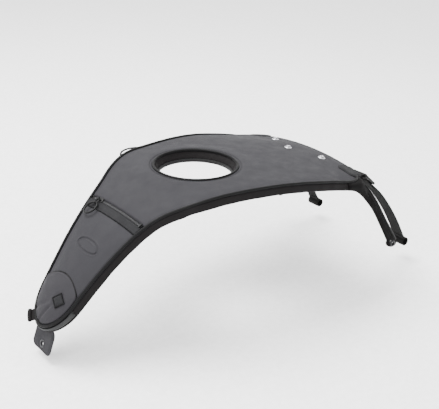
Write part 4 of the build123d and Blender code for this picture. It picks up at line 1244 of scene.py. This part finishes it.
TONGUE_TOP, TONGUE_END, TONGUE_HALF, TONGUE_CORNER = -25.0, 10.0, 23.0, 8.0
tongue_outline = rounded_box(TONGUE_TOP, TONGUE_END, TONGUE_HALF, TONGUE_CORNER, 1.5)
tongue = panel(
    "tongue_strap", tongue_outline, 1.0, 2.0, LEATHER, ["tail_tongue"],
    holes=[circle(0, 0, 4.7, 32)], step=1.8, edge_r=0.7, placed=tongue_place, round_back=True,
    relief=lambda xy, d: 0.5 * smoothstep(0, 5, d) - 0.4 * bell(d - 3.0, 0.6),
)
tongue_seam = inset(rounded_box(TONGUE_TOP + 2, TONGUE_END, TONGUE_HALF, TONGUE_CORNER, 1.2), 3.0)
tongue_stitches = stitch_mesh(*tongue_place(close_loop(tongue_seam), 1.2), 3.2, 2.2, 0.22)
add_mesh("tongue_stitches", tongue_stitches, THREAD)
eyelets = [("tongue_grommet", "tail_eyelet", TONGUE_EYELET, TONGUE_AXIS)]
for word, side in SIDES:
    wing_eyelet = (307.0, side * WING_Y, -164.0)
    eyelets.append((f"wing_grommet_{word}", f"wing_eyelet_{word}", wing_eyelet, (0, side, 0)))
for name, node, place, axis in eyelets:
    add_mesh(name, lathe(EYELET_PROFILE, 40, place, axis), EYELET, [node])

TAB_CENTRE = np.array([-258.23, 24.932, -168.097])
TAB_AXIS = np.array([0.429442, 0.759014, 0.489364])
tab_out = np.array([-0.872, 0.49, 0.0])
tab_out = unit(tab_out - (tab_out @ TAB_AXIS) * TAB_AXIS)
tab_up = np.cross(TAB_AXIS, tab_out)
tab_up *= np.sign(tab_up[2])
spiral = polar(np.linspace(3.3, 2.2, 36), np.linspace(0.95 * np.pi, -1.05 * np.pi, 36))
tab_front = np.vstack([[(-7.6, 2.6), (-6.0, 2.5), (-4.4, 2.1)], spiral])
run_dir = unit(np.gradient(tab_front, axis=0))
tab_back = tab_front + np.stack([run_dir[:, 1], -run_dir[:, 0]], 1)
tab_loop = np.vstack([tab_front, tab_back[::-1]])
tab_at = np.linspace(-8.5, 8.5, 22)[:, None]
tab_path = TAB_CENTRE + tab_at * TAB_AXIS - 0.011 * tab_at**2 * tab_out
add_mesh("rolled_tab", sweep(tab_path, tab_out, tab_up, tab_loop), DARK_LEATHER,
         ["tail_side_tab"])


def edge_point(x, out):
    """A plan point out from the cover's left edge."""
    return x, float(half_width(x)) + out


loop_plan = arc_points(edge_point(-59.5, 0.2), edge_point(-38.0, 9.9), edge_point(-17.0, 0.2), 40)
loop_level = float(plain_z(-38.0, half_width(-38.0))) - 1.8
loop_path = np.column_stack([loop_plan, loop_level + 0.5 * np.sin(np.linspace(0, np.pi, 40))])
loop_out, loop_up = frames(loop_path, np.array([(0, 0, 1.0)]))
loop_mesh = sweep(loop_path, loop_out, loop_up, squarish(turns(20), 1.3, 1.25, 0.7))
add_mesh("edge_loop", loop_mesh, WEBBING, ["left_edge_loop"])

for name, material in (("stud_washers", STEEL), ("zip_stops", SLIDER)):
    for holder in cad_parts[name].material_slots:
        holder.material = material


# ======== light, floor and finish ========

def soft_light(name, place, size, power):
    data = bpy.data.lights.new(name, "AREA")
    data.shape = "DISK"
    data.size = size
    data.energy = power
    lamp = bpy.data.objects.new(name, data)
    lamp.location = place
    lamp.rotation_euler = Vector(place).to_track_quat("Z", "Y").to_euler()
    bpy.context.scene.collection.objects.link(lamp)


soft_light("key", (-0.45, 0.75, 1.9), 1.5, 125)
soft_light("fill", (-1.6, -0.9, 1.3), 1.8, 40)
soft_light("rim", (1.4, 0.5, 0.9), 1.0, 3)
world = bpy.data.worlds.new("studio")
world.use_nodes = True
sky = world.node_tree.nodes["Background"]
sky.inputs["Color"].default_value = (1, 1, 1, 1)
sky.inputs["Strength"].default_value = 2.3
bpy.context.scene.world = world

FLOOR_Z, FLOOR_HALF = -0.222, 3.0
floor_mesh = bpy.data.meshes.new("studio_floor")
corners = [(x * FLOOR_HALF, y * FLOOR_HALF, FLOOR_Z) for x, y in ((-1, -1), (1, -1), (1, 1), (-1, 1))]
floor_mesh.from_pydata(corners, [], [(0, 1, 2, 3)])
floor = bpy.data.objects.new("studio_floor", floor_mesh)
bpy.context.scene.collection.objects.link(floor)
floor.data.materials.append(moulded("pale_floor", (0.93, 0.93, 0.93), rough=0.75, texture_scale=40))
